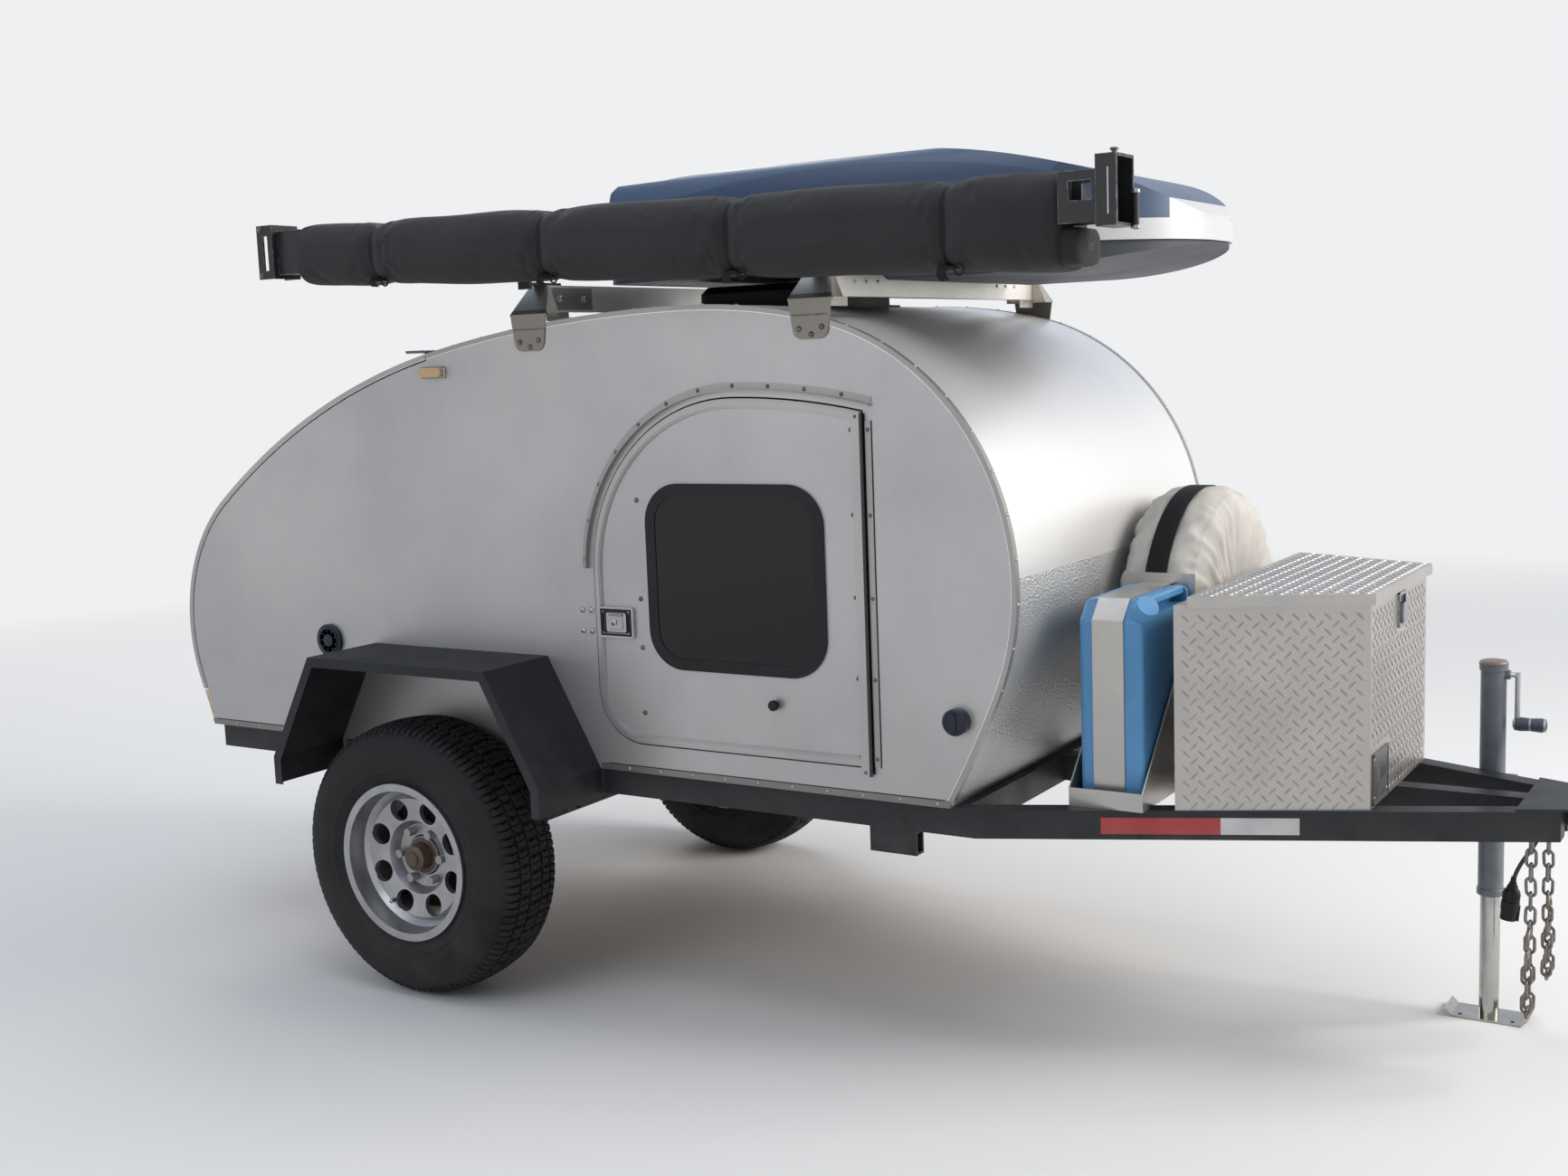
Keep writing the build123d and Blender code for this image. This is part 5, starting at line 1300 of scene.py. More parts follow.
# %% [markdown]
# ## Many small like parts
# Screws, bolts and the lugs of the chequer plate are one small shape each, carried to hundreds of
# places. The places of the body's screws follow the same arcs as its outline: a point on an arc is its
# centre plus the radius times the outward direction. The strip over the door follows the door's arcs.

# %% Copies of a small shape
def many(shape, at, outwards, along=(0.0, 0.0, 1.0)):
    """A shape's points and faces, turned to each outward direction and set at each place."""
    unit, faces = shape
    at = np.asarray(at, float).reshape(-1, 3)
    turns = turns_to(np.broadcast_to(np.asarray(outwards, float), at.shape), along)
    order = []
    for size in sorted({len(face) for face in faces}):
        alike = np.array([face for face in faces if len(face) == size])
        order += copied_faces(alike, len(at), len(unit)).tolist()
    return copies(unit, at, turns), order


def lathe(profile, count=10):
    """Head of a screw or bolt: pairs of (radius, height) turned about Z, closed at the top."""
    turn = np.linspace(0, 2 * math.pi, count, endpoint=False)
    ring = np.stack([np.cos(turn), np.sin(turn)], axis=1)
    points = np.concatenate([np.c_[ring * r, np.full(count, z)] for r, z in profile])
    faces = grid_faces(len(profile), count, wrap_columns=True).tolist()
    return points, faces + [list(range(count))[::-1],
                            [(len(profile) - 1) * count + k for k in range(count)]]


def dome(radius, height):
    """Low round head."""
    return lathe([(radius, -0.0008), (radius, 0.2 * height), (radius * 0.86, 0.62 * height),
                  (radius * 0.5, 0.93 * height), (radius * 0.16, height)])


def hex_bolt(radius, height):
    """Washer, six flats and a chamfered top."""
    washer = lathe([(radius * 1.35, -0.0008), (radius * 1.35, 0.0012), (radius * 1.28, 0.0016)], 16)
    head = lathe([(radius, 0.0010), (radius, height * 0.85), (radius * 0.86, height)], 6)
    return joined([washer, head])


print("copying helpers ready")

# %% The body's outline and the door's outline
CROWN = np.array([-0.150, 1.743])
SCREWS_END_Z = 0.632
DOOR_MID, DOOR_REAR, DOOR_HINGE = -0.031, -0.455, 0.318
DOOR_SPRING, DOOR_ARCH, DOOR_CROWN = 1.100, 0.424, 1.729


def edge_points(arcs, ahead, spacing, start=0.0, until=math.inf):
    """Places x, z and outward directions along the body's outline, from the crown down one side."""
    at, turn, gone, target = CROWN, 0.0, 0.0, start
    places, normals = [], []
    for radius, degrees in arcs:
        normal = np.array([ahead * math.sin(turn), math.cos(turn)])
        centre = at - radius * normal
        length = radius * math.radians(degrees)
        while target <= min(gone + length, until):
            t = turn + (target - gone) / radius
            n = np.array([ahead * math.sin(t), math.cos(t)])
            places.append(centre + radius * n)
            normals.append(n)
            target += spacing
        turn += math.radians(degrees)
        gone += length
        at = centre + radius * np.array([ahead * math.sin(turn), math.cos(turn)])
    down = np.array([ahead * math.cos(turn), -math.sin(turn)])
    while target <= until and (at + down * (target - gone))[1] > SCREWS_END_Z:
        places.append(at + down * (target - gone))
        normals.append(np.array([ahead * math.sin(turn), math.cos(turn)]))
        target += spacing
    return np.array(places), np.array(normals)


def door_line(out, spacing, low):
    """Places x, z on the door's outline moved outwards: up its rear side, round the arch, to the hinge."""
    arch, crown, top = DOOR_ARCH + out, DOOR_CROWN + out, DOOR_SPRING + DOOR_ARCH + out
    up = np.array([(DOOR_REAR - out, z) for z in np.arange(low, DOOR_SPRING, 0.004)]).reshape(-1, 2)
    turn = np.linspace(math.pi, math.pi / 2, 60)
    bend = np.stack([DOOR_MID + arch * np.cos(turn), DOOR_SPRING + arch * np.sin(turn)], axis=1)
    turn = np.linspace(0, math.asin((DOOR_HINGE + out - DOOR_MID) / crown), 40)
    over = np.stack([DOOR_MID + crown * np.sin(turn), top - crown + crown * np.cos(turn)], axis=1)
    line = np.concatenate([up, bend, over])
    gone = np.concatenate([[0], np.cumsum(np.linalg.norm(np.diff(line, axis=0), axis=1))])
    at = np.arange(spacing * 0.35, gone[-1], spacing)
    return np.stack([np.interp(at, gone, line[:, 0]), np.interp(at, gone, line[:, 1])], axis=1)


FRONT_ARCS = [(1.560, 13.4), (0.616, 99.0), (2.547, 6.5)]
REAR_ARCS = [(3.983, 11.3), (2.055, 27.0), (0.468, 70.1)]
BODY_HALF = 0.6095
HATCH_FROM = 3.983 * math.radians(11.3) + 2.055 * math.radians(12.67 - 11.3)
print("outline from the crown to the hatch seam:", round(HATCH_FROM, 3), "m")

# %% Screws along the roof's edges
EDGE_PITCH, EDGE_Y, EDGE_LIFT = 0.098, 0.602, 0.0014
front_at, front_n = edge_points(FRONT_ARCS, 1, EDGE_PITCH, 0.045)
rear_at, rear_n = edge_points(REAR_ARCS, -1, EDGE_PITCH, 0.053, HATCH_FROM - 0.02)
tail_at, tail_n = edge_points(REAR_ARCS, -1, EDGE_PITCH, HATCH_FROM + 0.095)


def on_both_edges(places, normals):
    """Screws of an edge on both sides of the body, as places and outward directions."""
    out = np.c_[normals[:, 0], 0 * normals[:, 0], normals[:, 1]]
    at = [np.c_[places[:, 0], np.full(len(places), side * EDGE_Y), places[:, 1]] + EDGE_LIFT * out
          for side in (-1, 1)]
    return np.concatenate(at), np.concatenate([out, out])


SMALL_DOME = dome(0.0046, 0.0026)
at, out = on_both_edges(np.concatenate([front_at, rear_at]), np.concatenate([front_n, rear_n]))
solid("roof_edge_screws", [many(SMALL_DOME, at, out, (0, 1, 0))], "trailer", SCREW, "edge_moulding")
at, out = on_both_edges(tail_at, tail_n)
solid("hatch_edge_screws", [many(SMALL_DOME, at, out, (0, 1, 0))], "hatch", SCREW, "edge_moulding")
print("roof edge screws:", len(front_at) + len(rear_at) + len(tail_at), "a side")

# %% [markdown]
# The walls have bright screws along the sill and on the latch's keeper, and dark ones on the strip over
# the door and on the fixed hinge leaf. A thin dark slab stands for the open seam over the sill strip.

# %% Screws and seams of the walls
SILL_PITCH, SILL_Z, SEAM_Z, SEAM_HIGH = 0.0955, 0.612, 0.6210, 0.0016
HINGE_Z = np.array([0.700, 0.883, 1.069, 1.257, 1.448])
KEEPER_X, KEEPER_Z = (-0.500, -0.472), (0.955, 1.0075)
sill_ends = [edge_points(arcs, ahead, 0.002)[0] for arcs, ahead in ((FRONT_ARCS, 1), (REAR_ARCS, -1))]
front_end, rear_end = (line[-1, 0] for line in sill_ends)
sill_x = np.arange(front_end - 0.030, rear_end + 0.02, -SILL_PITCH)
sill_x = sill_x[(sill_x <= -1.40) | (sill_x >= -0.45)]
strip = door_line(0.0295, EDGE_PITCH, 1.135)
strip = strip[strip[:, 0] < 0.338]


def on_wall(x, z, side, lift=0.0):
    """Places x, z on one side's wall, lifted off it; x or z may be one value for all."""
    x, z = np.broadcast_arrays(x, z)
    return np.stack([x, np.full(x.shape, side * (BODY_HALF + lift)), z], axis=-1)


bright, dark, seams = [], [], []
for side, word in SIDES:
    out = (0, side, 0)
    keeper = on_wall(np.repeat(KEEPER_X, 2), np.tile(KEEPER_Z, 2), side)
    bright.append(many(SMALL_DOME, on_wall(sill_x, SILL_Z, side, 0.0018), out))
    bright.append(many(dome(0.0078, 0.0042), keeper, out))
    dark.append(many(dome(0.0052, 0.0030), on_wall(*strip.T, side, 0.0018), out))
    dark.append(many(dome(0.0050, 0.0028), on_wall(0.3345, HINGE_Z, side, 0.0028), out))
    y0, y1 = side * (BODY_HALF + 0.0002), side * (BODY_HALF + 0.0014)
    seams += [slab((x0, y0, SEAM_Z - SEAM_HIGH / 2), (x1, y1, SEAM_Z + SEAM_HIGH / 2), 0.0002)
              for x0, x1 in ((-0.440, front_end - 0.012), (rear_end + 0.020, -1.425))]
solid("wall_screws", bright, "trailer", SCREW, "edge_moulding")
solid("sill_seams", seams, "trailer", BLACK, "edge_moulding")
solid("strip_screws", dark, "trailer", DARK_SCREW, "edge_moulding")
print("screws along a sill:", len(sill_x), "and over a door:", len(strip))

# %% [markdown]
# Each door carries the screws of its own hinge leaf, one at each end of the cover leaf, four on its
# panel and a black knob that stops it against the wall. Its latch is a black dish with a raised border, a
# bright paddle that one pulls, and a round lock with a slot. Thin dark slabs on the wall, on both sides
# of the fixed hinge leaf, are painted shade: the shadow in the gap there and along the leaf's edge.

# %% Screws, knob and latch of each door
HINGE_SHADE_STRIPS = ((0.3186, 0.3262, 0.664, 1.484), (0.3424, 0.3438, 0.680, 1.468))
LATCH_X, DOOR_LATCH_Z = -0.3905, 0.981
PANEL_SCREWS = np.array([(-0.316, 1.284), (-0.317, 1.042), (-0.318, 0.921), (-0.320, 0.758)])
KNOB_LINE = [(0.0, 0.0065), (0.010, 0.0062), (0.0102, 0.0125), (0.019, 0.0128), (0.0225, 0.0105),
             (0.0235, 0.006)]


def latch_slab(side, x, z, y, ease):
    """Slab on the latch: x and z count from its middle, y outwards from the wall."""
    low, high = ((LATCH_X + x[k], side * (BODY_HALF + y[k]), DOOR_LATCH_Z + z[k]) for k in (0, 1))
    return slab(low, high, ease)


for side, word in SIDES:
    out, door = (0, side, 0), f"door_{word}"
    y0, y1 = side * (BODY_HALF + 0.0002), side * (BODY_HALF + 0.0016)
    # Painted shade: dark strips on the wall in the gap beside the fixed hinge leaf and along the leaf's
    # edge.
    shade_strips = [slab((x0, y0, z0), (x1, y1, z1), 0.0002) for x0, x1, z0, z1 in HINGE_SHADE_STRIPS]
    solid(f"hinge_shade_strip_{word}", shade_strips, "trailer", BLACK, "edge_moulding")
    screws = [many(dome(0.0052, 0.0030), on_wall(0.2885, HINGE_Z, side), out),
              many(dome(0.0044, 0.0022), on_wall(0.3055, [0.668, 1.478], side, 0.0088), out),
              many(dome(0.0066, 0.0036), on_wall(*PANEL_SCREWS.T, side), out)]
    solid(f"door_screws_{word}", screws, door, DARK_SCREW, "door_moulding")
    knob = turned(KNOB_LINE, (0.066, side * BODY_HALF, 0.807), out, 18)
    solid(f"door_knob_{word}", [knob], door, BLACK, "window_black")
    dish = [latch_slab(side, (-0.0395, 0.0395), (-0.0270, 0.0270), (0.0030, 0.0037), 0.0002)]
    for k in (-1, 1):
        dish.append(latch_slab(side, (-0.0475, 0.0475), (k * 0.0335, k * 0.0282), (0.0089, 0.0094), 0.0001))
        dish.append(latch_slab(side, (k * 0.0475, k * 0.0407), (-0.0282, 0.0282), (0.0089, 0.0094), 0.0001))
    solid(f"latch_dish_{word}", dish, door, BLACK, "window_black")
    grip = [latch_slab(side, (-0.020, 0.020), (-0.017, 0.017), (0.0080, 0.0102), 0.001),
            latch_slab(side, (-0.020, 0.020), (0.0172, 0.0215), (0.0080, 0.0145), 0.001),
            turned([(0.0, 0.0078), (0.0036, 0.0078), (0.0042, 0.0068)],
                   (LATCH_X - 0.004, side * (BODY_HALF + 0.0098), DOOR_LATCH_Z), out, 18)]
    solid(f"latch_grip_{word}", grip, door, CHROME, "latch_chrome")
    slot = latch_slab(side, (-0.0046, -0.0034), (-0.0042, 0.0042), (0.0139, 0.0143), 0.0001)
    solid(f"latch_keyhole_{word}", [slot], door, BLACK, "window_black")
print("door screws, knobs and latch details on both sides")

# %% [markdown]
# ## Chequer plate
# The box is folded from chequer plate: short raised lugs, half of them leaning one way and half the
# other, on a 33 mm lattice with the second kind in the middle of the first. A lug is a low lens with
# pointed ends. Each face of the box is an origin and two directions, so one function fills all of them.

# %% Lugs of the chequer plate
LATTICE, LUG_LONG, LUG_WIDE, LUG_HIGH = 0.033, 0.0235, 0.0050, 0.0014
lens = np.array([(1, 0), (0.62, 0.78), (0, 1), (-0.62, 0.78), (-1, 0), (-0.62, -0.78), (0, -1),
                 (0.62, -0.78)])
lens = lens * (LUG_LONG / 2, LUG_WIDE / 2)
LUG_MARGIN = 0.0095
lug_levels = (((1.0, 1.0), -0.0002), ((0.93, 0.86), 0.70 * LUG_HIGH), ((0.72, 0.42), LUG_HIGH))
lug_points = np.concatenate([np.c_[lens * shrink, np.full(8, z)] for shrink, z in lug_levels])
LUG = (lug_points, loft_faces(3, 8))


def chequer(origin, u, v, wide, high, start, keep=None):
    """Lugs on a flat face: origin is its corner, u and v its directions, keep says which places stay."""
    origin, u, v = (np.asarray(a, float) for a in (origin, u, v))
    u, v = u / np.linalg.norm(u), v / np.linalg.norm(v)
    normal = np.cross(u, v)
    parts = []
    for lean, shift in ((1, 0.0), (-1, LATTICE / 2)):
        a = np.arange(start[0] + shift - LATTICE, wide, LATTICE)
        b = np.arange(start[1] + shift - LATTICE, high, LATTICE)
        a, b = (g.ravel() for g in np.meshgrid(a, b))
        inside = (np.minimum(a, wide - a) > LUG_MARGIN) & (np.minimum(b, high - b) > LUG_MARGIN)
        if keep is not None:
            inside &= keep(a, b)
        at = origin + a[inside, None] * u + b[inside, None] * v
        if len(at):
            parts.append(many(LUG, at, normal, u + lean * v))
    return parts


print("one lug:", LUG_LONG, "by", LUG_WIDE, "m, faces:", len(LUG[1]))

# %% Faces of the box
REAR_X, FRONT_X, WIDE_END, NOSE_END, BOX_LOW, BOX_HIGH = 0.968, 1.342, 0.428, 0.262, 0.604, 1.050
LID_TOP, LID_OVER = 1.0750, 0.013
PLATE_Y, PLATE_Z = (-0.246, -0.112), (0.610, 0.722)
LATCH_Y, LATCH_Z = 0.0035, 1.005
box_long, taper = FRONT_X - REAR_X, WIDE_END - NOSE_END
flank = math.hypot(box_long, taper)
lid_half = WIDE_END + LID_OVER


def clear_front(a, b):
    """Front face places clear of the blank plate and of the latch."""
    y, z = a - NOSE_END, b + BOX_LOW
    on_plate = (y > PLATE_Y[0] - 0.012) & (y < PLATE_Y[1] + 0.012)
    on_plate &= (z > PLATE_Z[0] - 0.012) & (z < PLATE_Z[1] + 0.012)
    on_latch = (np.abs(y - LATCH_Y) < 0.044) & (np.abs(z - LATCH_Z) < 0.052)
    return ~(on_plate | on_latch)


def on_lid(a, b):
    """Lid places within its outline, which narrows to the front like the box."""
    return np.abs(b - lid_half) < lid_half - taper / box_long * (a + 0.030) - 0.012


# Each upright face: lower corner, direction, width, where its lattice starts and which places stay
BOX_FACES = (((REAR_X, -WIDE_END), (box_long, taper), flank, 0.008, None),
             ((FRONT_X, NOSE_END), (-box_long, taper), flank, 0.012, None),
             ((FRONT_X, -NOSE_END), (0, 1), 2 * NOSE_END, 0.006, clear_front),
             ((REAR_X, WIDE_END), (0, -1), 2 * WIDE_END, 0.010, None))
lugs = []
for corner, way, wide, start, keep in BOX_FACES:
    lugs += chequer((*corner, BOX_LOW), (*way, 0), (0, 0, 1), wide, BOX_HIGH - BOX_LOW, (start, 0.010),
                    keep)
solid("box_chequer", lugs, "trailer", LUGS_PAINTED_SHADE, "tread_plate")
lid_lugs = chequer((0.998, -lid_half, LID_TOP), (1, 0, 0), (0, 1, 0), 0.356, 2 * lid_half, (0.004, 0.009),
                   on_lid)
solid("lid_chequer", lid_lugs, "box_lid", LID_LUG, "tread_plate")
box_lugs, top_lugs = (sum(len(p) // len(lug_points) for p, f in parts) for parts in (lugs, lid_lugs))
print("chequer lugs on the box:", box_lugs, "and on its lid:", top_lugs)

# %% [markdown]
# A small blank plate with a raised rim is riveted low on the box's front, and the latch sits in a dark
# dish under the lid.

# %% Plate and latch dish on the box
RIM, RIVET_IN = 0.006, 0.014
(y0, y1), (z0, z1) = PLATE_Y, PLATE_Z
plate_parts = [slab((FRONT_X, y0, z0), (FRONT_X + 0.0025, y1, z1), 0.0006)]
for low, high in (((y0, z0), (y1, z0 + RIM)), ((y0, z1 - RIM), (y1, z1)),
                  ((y0, z0), (y0 + RIM, z1)), ((y1 - RIM, z0), (y1, z1))):
    plate_parts.append(slab((FRONT_X + 0.001, *low), (FRONT_X + 0.0042, *high), 0.0006))
dish = slab((FRONT_X + 0.0021, LATCH_Y - 0.0232, LATCH_Z - 0.0317),
            (FRONT_X + 0.0026, LATCH_Y + 0.0232, LATCH_Z + 0.0317), 0.0002)
rivets = [(FRONT_X + 0.0022, y, z) for y in (y0 + RIVET_IN, y1 - RIVET_IN)
          for z in (z0 + RIVET_IN, z1 - RIVET_IN)]
solid("box_latch_dish", [dish], "trailer", BLACK, "window_black")
solid("box_blank_plate", plate_parts, "trailer", DARK_PLATE, "tread_plate")
solid("box_plate_rivets", [many(dome(0.0035, 0.0018), rivets, (1, 0, 0))], "trailer", SCREW, "tread_plate")
print("rivets on the plate:", len(rivets))

# %% [markdown]
# ## Tape, brackets and bolts
# A strip of red and white reflective tape is stuck on the drawbar under the can and the box. The bent
# feet of the roof bars are bolted through the wall; a joining plate with two bolts sits on the rear bar.

# %% Reflective tape
DRAWBAR_START, DRAWBAR_SLOPE = (0.570, 0.600), 0.4256
TAPE_Z = (0.5515, 0.5885)


def prism(low, high):
    """Solid between two outlines that have the same number of points."""
    n = len(low)
    sides = [[k, (k + 1) % n, n + (k + 1) % n, n + k] for k in range(n)]
    return np.concatenate([low, high]), [list(range(n))[::-1], [n + k for k in range(n)]] + sides


def tape_piece(x0, x1):
    """Thin strip on the outer face of the drawbar's right rail, which slants towards the coupler."""
    out = np.array([DRAWBAR_SLOPE, -1.0, 0.0]) / math.hypot(DRAWBAR_SLOPE, 1.0)
    x, z = np.array([x0, x1, x1, x0]), np.repeat(TAPE_Z, 2)
    ring = np.stack([x, DRAWBAR_SLOPE * (x - DRAWBAR_START[0]) - DRAWBAR_START[1], z], axis=1)
    return prism(ring - 0.0002 * out, ring + 0.0005 * out)


solid("tape_red", [tape_piece(0.822, 1.057)], "trailer", TAPE_RED, "red_lens")
solid("tape_white", [tape_piece(1.0575, 1.210)], "trailer", TAPE_WHITE, "rim_alloy")
print("tape on the drawbar's right rail, from x = 0.822 to 1.210")

# %% Bolts of the roof bars
FEET_X, BOLT_Z, BEND_SHADE_Z = (-0.623, 0.195), 1.782, (1.7045, 1.7095)
PLATE_X = (-0.6030, -0.5995)
FRONT_BAR_X = 0.2150
feet_bolts, bend_shade_strips, plates, plate_bolts, rivets = [], [], [], [], []
for side, word in SIDES:
    for x in FEET_X:
        at = on_wall([x - 0.030, x + 0.030, x + 0.002], [1.676, 1.679, 1.663], side, 0.0028)
        feet_bolts.append(many(dome(0.0072, 0.0045), at, (0, side, 0)))
        # Painted shade: a thin dark strip across each foot where it bends out over the roof's edge moulding.
        ring = x + np.array([-0.0475, 0.0475, 0.0470, -0.0470])
        bend_shade_strips.append(prism(*(on_wall(ring, np.repeat(BEND_SHADE_Z, 2), side, lift) for lift in (0.0028, 0.0036))))
    plates.append(slab((PLATE_X[0], side * 0.545, 1.7525), (PLATE_X[1], side * 0.380, 1.8105), 0.0008))
    plate_bolts += [(PLATE_X[1], side * y, BOLT_Z) for y in (0.415, 0.510)]
    rivets += [(FRONT_BAR_X, side * y, BOLT_Z) for y in (0.330, 0.385, 0.440)]
solid("rack_foot_bend_shade", bend_shade_strips, "trailer", DARK_SCREW, "rack_steel")
solid("rack_foot_bolts", feet_bolts, "trailer", DARK_SCREW, "rack_steel")
solid("rack_bar_plates", plates, "trailer", STAINLESS, "rack_steel")
bar_bolts = [many(hex_bolt(0.0075, 0.0065), plate_bolts, (1, 0, 0)),
             many(dome(0.0055, 0.0035), rivets, (1, 0, 0))]
solid("rack_bar_bolts", bar_bolts, "trailer", SCREW, "rack_steel")
print("bolts on the bars:", len(plate_bolts) + len(rivets))

# %% [markdown]
# The awning hangs between two black brackets. The rear one is held by two hexagon bolts; the front one
# is a hinge channel with a slot, a tie bolt and a bright pin through it.

# %% Bolts of the awning's end brackets
HINGE_PIN_AT = (1.001, -0.714)
rear_bolts = [(-1.3615, -0.790, z) for z in (1.876, 1.994)]
tie_line = [(-0.004, 0.0085), (0.0, 0.0085), (0.0005, 0.0055), (0.008, 0.0055), (0.0085, 0.0085),
            (0.013, 0.0085)]
end_bolts = [many(hex_bolt(0.0065, 0.005), rear_bolts, (0, -1, 0)),
             turned(tie_line, (0.9745, -0.7535, 1.9765), (0, 0, 1), 12)]
slot = slab((0.9775, -0.8008, 1.862), (0.9800, -0.7998, 1.950), 0.0003)
solid("awning_channel_slot", [slot], "trailer", ZINC, "awning_steel")
solid("awning_bracket_bolts", end_bolts, "trailer", DARK_SCREW, "awning_steel")
pin_ends = [turned([(0.0, 0.0095), (0.006, 0.0095), (0.008, tip)], (*HINGE_PIN_AT, z), (0, 0, way), 14)
            for tip, z, way in ((0.007, 1.9045, 1), (0.006, 1.8425, -1))]
solid("awning_hinge_pin", pin_ends, "trailer", SCREW, "awning_steel")
print("awning bolts placed")

# %% [markdown]
# ## Jack, lamps and caps
# The last small things: the jack's cap, collars and knob, the holes in its foot, the marker lamps' base,
# the ribs of the tail lamps' lenses and the rims of the two round caps on each wall. Nearly all of them
# are short turned profiles.

# %% Jack details
JACK = (1.500, 0.236)


def collar(z, r, high):
    """Ring round the jack's tube with eased edges."""
    line = [(0.0, r - 0.001), (0.001, r), (high - 0.001, r), (high, r - 0.001)]
    return turned(line, (*JACK, z), (0, 0, 1), 28)


solid("jack_collars", [collar(0.300, 0.0310, 0.016), collar(0.462, 0.0305, 0.006)], "trailer", JACK_PAINT,
      "jack_zinc")
cap_line = [(0.0, 0.0318), (0.0006, 0.0322), (0.006, 0.0322), (0.0105, 0.0290), (0.0125, 0.0200),
            (0.0130, 0.006)]
solid("jack_cap", [turned(cap_line, (*JACK, 0.8470), (0, 0, 1), 28)], "trailer", CAP_BROWN, "jack_zinc")
knob_line = [(-0.004, 0.0090), (0.0, 0.0150), (0.010, 0.0165), (0.034, 0.0150), (0.058, 0.0168),
             (0.0665, 0.0140), (0.0690, 0.008)]
solid("jack_knob", [turned(knob_line, (1.5475, JACK[1], 0.712), (1, 0, 0), 20)], "trailer", GREY_GRIP,
      "jack_zinc")
holes = [turned([(0.0, 0.0045), (0.0006, 0.0045), (0.0007, 0.003)],
                (JACK[0] + off, JACK[1] - 0.030, 0.0052), (0, 0, 1), 12) for off in (-0.0585, 0.0585)]
solid("jack_foot_holes", holes, "jack_foot", BLACK, "jack_zinc")
print("jack details at", JACK)

# %% Lamps and caps
LENS_RIBS, RIB_STEP = 6, 0.022
VENT_X, VENT_Z = -1.398, 0.882
CAP_X, CAP_Z = 0.540, 0.805
VENT_RIM = [(0.0085, 0.0375), (0.0125, 0.0372), (0.0135, 0.0345), (0.0120, 0.0320), (0.0100, 0.0318)]
VENT_KNOB = [(0.0092, 0.0180), (0.0128, 0.0172), (0.0138, 0.0120), (0.0138, 0.004)]
CAP_RIM = [(0.0205, 0.0296), (0.0230, 0.0290), (0.0240, 0.0270), (0.0238, 0.0225), (0.0212, 0.0205)]
stud_turn = 2 * math.pi * (np.arange(9) + 0.5) / 9
cap_parts, lens_ribs = [], []
for side, word in SIDES:
    out = (0, side, 0)
    base = slab((-0.994, side * (BODY_HALF - 0.0002), 1.5945),
                (-0.910, side * (BODY_HALF + 0.0060), 1.6235), 0.0028)
    solid(f"marker_base_{word}", [base], "trailer", CHROME, "amber_lens")
    for y in side * 0.470 + (np.arange(LENS_RIBS) - (LENS_RIBS - 1) / 2) * RIB_STEP:
        lens_ribs.append(slab((-1.8785, y - 0.0015, 0.636), (-1.8700, y + 0.0015, 0.674), 0.0005))
    cap_parts += [turned(VENT_RIM, (VENT_X, side * BODY_HALF, VENT_Z), out, 36),
                  turned(VENT_KNOB, (VENT_X, side * BODY_HALF, VENT_Z), out, 24),
                  turned(CAP_RIM, (CAP_X, side * BODY_HALF, CAP_Z), out, 36)]
    cap_parts.append(slab((CAP_X - 0.0035, side * (BODY_HALF + 0.0215), CAP_Z - 0.019),
                          (CAP_X + 0.0035, side * (BODY_HALF + 0.0255), CAP_Z + 0.019), 0.001))
    studs = on_wall(VENT_X + 0.0265 * np.cos(stud_turn), VENT_Z + 0.0265 * np.sin(stud_turn), side, 0.0100)
    cap_parts.append(many(dome(0.0032, 0.0016), studs, out))
solid("wall_cap_rims", cap_parts, "trailer", NAVY, "cap_plastic")
solid("tail_lens_ribs", lens_ribs, "trailer", RED, "red_lens")
print("lamp and cap details placed")

# %% [markdown]
# ## Brake drums
# Behind each rim a dark cast drum closes the view through the rim's holes. It turns with the wheel.

# %% Brake drums
DRUM_LINE = [(-0.046, 0.060), (-0.046, 0.150), (-0.040, 0.154), (-0.030, 0.154), (-0.027, 0.149),
             (-0.004, 0.147), (0.006, 0.143), (0.010, 0.136), (0.010, 0.060)]
for side, word in SIDES:
    drum = turned(DRUM_LINE, (WHEEL_X, side * WHEEL_Y, WHEEL_Z), (0, side, 0), 56)
    solid(f"brake_drum_{word}", [drum], f"wheel_{word}", DRUM, "hub_steel")
print("drum radius:", max(radius for _, radius in DRUM_LINE), "m")

# %% [markdown]
# ## Floor, light and camera
# The floor is a plain pale disc. Away from the trailer it turns into the colour of the background, so no
# horizon line shows.

# %% Floor
BACKDROP = (0.86, 0.87, 0.88)
FLOOR_RADIUS, FLOOR_BLEND = 60.0, (2.6, 9.5)


def floor_finish():
    """Diffuse floor near the trailer, plain background colour beyond it."""
    made = bpy.data.materials.new("studio_floor")
    made.use_nodes = True
    tree = made.node_tree
    shader = tree.nodes["Principled BSDF"]
    shader.inputs["Base Color"].default_value = rgb((0.70, 0.70, 0.705))
    shader.inputs["Roughness"].default_value = 0.85
    shader.inputs["Specular IOR Level"].default_value = 0.15
    place = add(tree, "ShaderNodeTexCoord").outputs["Object"]
    away = add(tree, "ShaderNodeVectorMath", {0: place}, operation="LENGTH").outputs["Value"]
    far = add(tree, "ShaderNodeEmission", {"Color": rgb(BACKDROP), "Strength": 1.0}).outputs["Emission"]
    blend = add(tree, "ShaderNodeMixShader", {0: ramp(tree, away, *FLOOR_BLEND), 1: shader.outputs["BSDF"],
                                              2: far})
    tree.links.new(blend.outputs["Shader"], tree.nodes["Material Output"].inputs["Surface"])
    return made


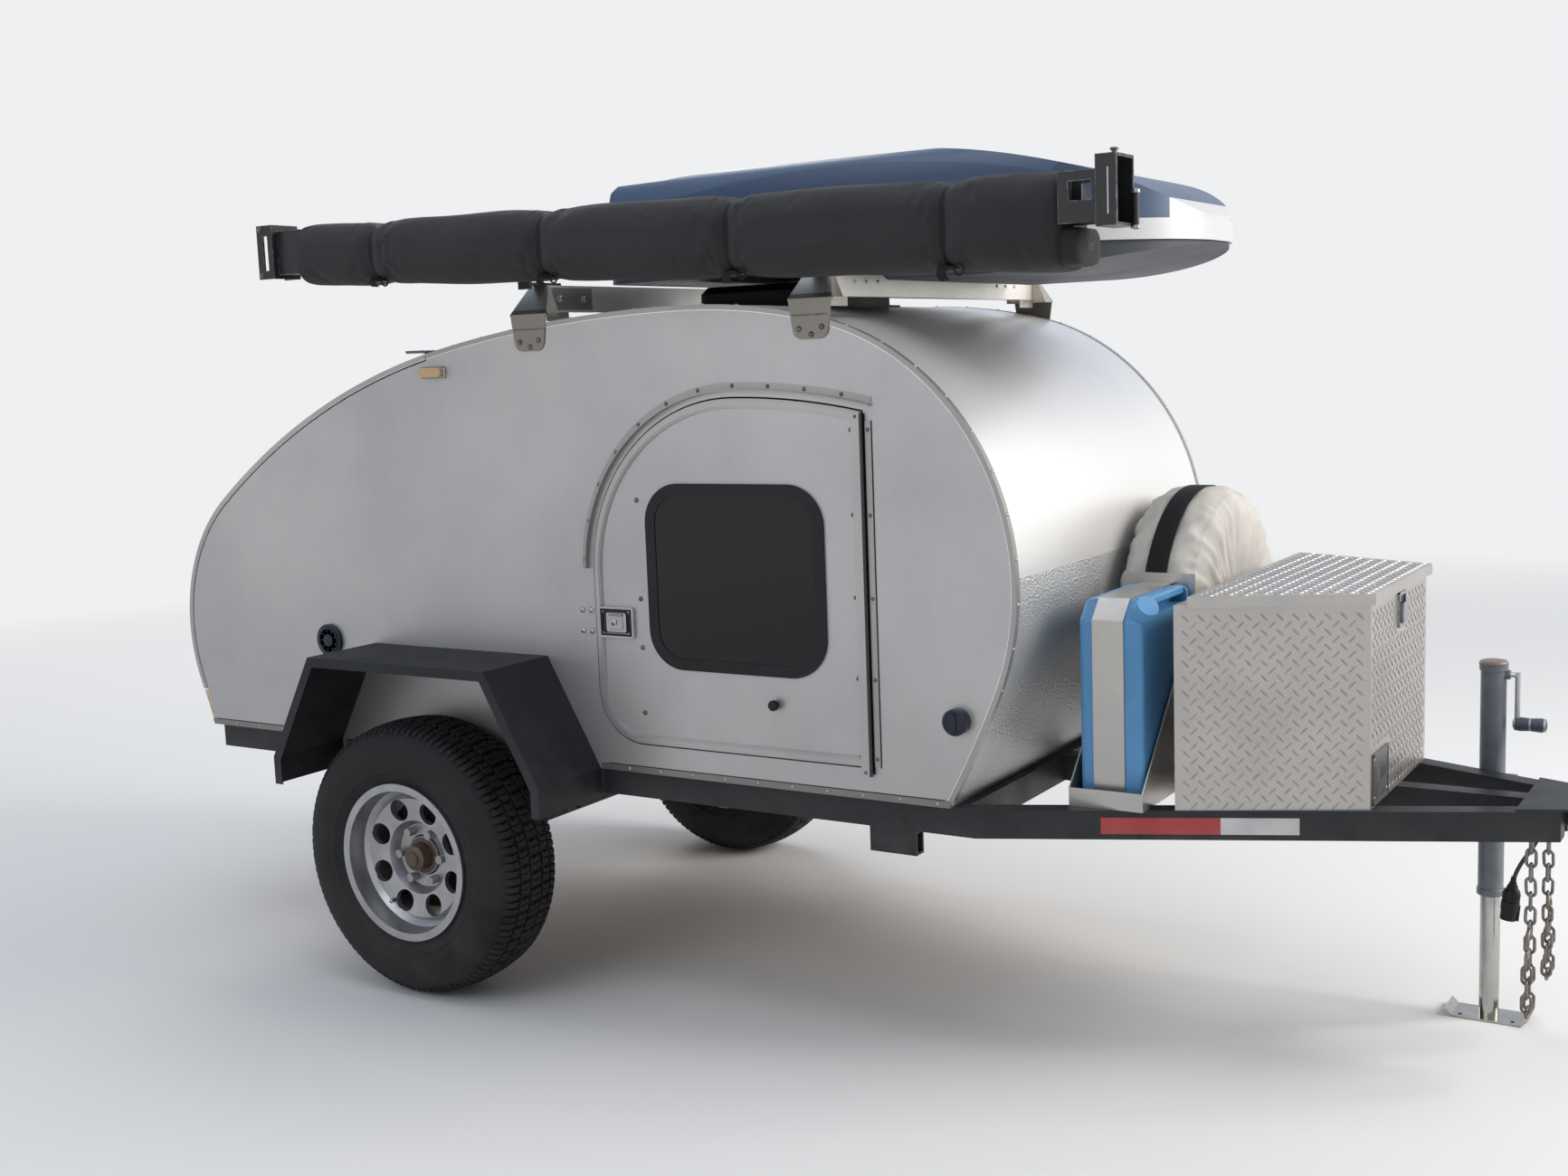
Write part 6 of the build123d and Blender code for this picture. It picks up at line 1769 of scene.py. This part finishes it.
angle = np.linspace(0, 2 * math.pi, 96, endpoint=False)
disc = np.stack([FLOOR_RADIUS * np.cos(angle), FLOOR_RADIUS * np.sin(angle), 0 * angle], axis=-1)
floor_mesh = bpy.data.meshes.new("floor_disc")
floor_mesh.from_pydata(disc.tolist(), [], [list(range(len(disc)))])
floor_mesh.materials.append(floor_finish())
floor_disc = bpy.data.objects.new("floor_disc", floor_mesh)
bpy.context.scene.collection.objects.link(floor_disc)
print("floor turns into the background between", FLOOR_BLEND, "m")

# %% [markdown]
# The world shows the plain background to the camera and through glass, and lights the trailer with a
# dimmer, bluer sky. Mirror-like metal would look flat if it saw only one tone, so glossy rays see a
# sky that goes from the background's tone at the horizon to blue overhead. Four large soft lamps do the
# rest: one high in front, which brightens the roof's nose, one on the camera's side, one behind for the
# rims and one overhead.

# %% World and lamps
SKY_BLUE = (0.33, 0.43, 0.60)
world = bpy.data.worlds.new("studio")
bpy.context.scene.world = world
world.use_nodes = True
sky = world.node_tree
for old in list(sky.nodes):
    sky.nodes.remove(old)
ray = add(sky, "ShaderNodeLightPath")
towards = add(sky, "ShaderNodeTexCoord").outputs["Generated"]
upwards = add(sky, "ShaderNodeSeparateXYZ", {"Vector": towards}).outputs["Z"]
mirrored = mix(sky, ramp(sky, upwards, 0.16, 0.62), rgb(BACKDROP), rgb(SKY_BLUE))
straight = times(sky, ray.outputs["Is Camera Ray"], ray.outputs["Is Transmission Ray"], "MAXIMUM")
seen = times(sky, straight, ray.outputs["Is Glossy Ray"], "MAXIMUM")
soft = add(sky, "ShaderNodeBackground", {"Color": rgb((0.80, 0.88, 1.0)),
                                         "Strength": 0.45}).outputs["Background"]
shown = mix(sky, ray.outputs["Is Glossy Ray"], rgb(BACKDROP), mirrored)
plain = add(sky, "ShaderNodeBackground", {"Color": shown, "Strength": 1.0}).outputs["Background"]
both = add(sky, "ShaderNodeMixShader", {0: seen, 1: soft, 2: plain}).outputs["Shader"]
add(sky, "ShaderNodeOutputWorld", {"Surface": both})


def lamp(name, at, target, size, power, colour):
    """Large square area lamp that looks at a point."""
    light = bpy.data.lights.new(name, "AREA")
    light.shape = "SQUARE"
    light.size = size
    light.energy = power
    light.color = colour
    made = bpy.data.objects.new(name, light)
    bpy.context.scene.collection.objects.link(made)
    made.location = at
    made.rotation_mode = "QUATERNION"
    made.rotation_quaternion = (Vector(target) - Vector(at)).to_track_quat("-Z", "Y")


lamp("front_high", (6.5, 2.2, 4.2), (0.3, 0, 1.0), 3.5, 560, (1.0, 0.95, 0.88))
lamp("camera_side", (-1.5, -7.0, 5.0), (-0.2, 0, 0.9), 5.0, 120, (0.96, 0.98, 1.0))
lamp("behind", (-5.5, 4.5, 4.5), (-0.5, 0, 1.0), 4.0, 180, (1.0, 0.98, 0.95))
lamp("overhead", (0.0, -1.0, 7.0), (0, 0, 1.0), 5.0, 130, (0.98, 0.99, 1.0))
print("lamps:", len(bpy.data.lights))

# %% [markdown]
# The camera stands 4 m to the right, 2.3 m forward and 1.6 m up. It is turned 32 degrees from a plain
# side view, looks 7 degrees down and is tilted by 2 degrees. Its axes are written as a matrix.

# %% Camera
CAMERA_AT = (2.250, -4.019, 1.612)
FOCAL_PIXELS, FRAME_PIXELS = 1938.9, 1733
TURN, DOWN, ROLL = (math.radians(v) for v in (32.26, 7.456, 2.147))
look = Vector((-math.sin(TURN) * math.cos(DOWN), math.cos(TURN) * math.cos(DOWN), -math.sin(DOWN)))
level = Vector((math.cos(TURN), math.sin(TURN), 0))
lower = look.cross(level)
across = math.cos(ROLL) * level + math.sin(ROLL) * lower
below = -math.sin(ROLL) * level + math.cos(ROLL) * lower
camera_data = bpy.data.cameras.new("camera")
camera_data.sensor_width = 36.0
camera_data.lens = 36.0 * FOCAL_PIXELS / FRAME_PIXELS
camera = bpy.data.objects.new("camera", camera_data)
bpy.context.scene.collection.objects.link(camera)
camera.matrix_world = Matrix((across, -below, -look)).transposed().to_4x4()
camera.location = CAMERA_AT
bpy.context.scene.camera = camera
bpy.context.scene.view_settings.view_transform = "Standard"
print("camera lens in mm:", round(camera_data.lens, 2))
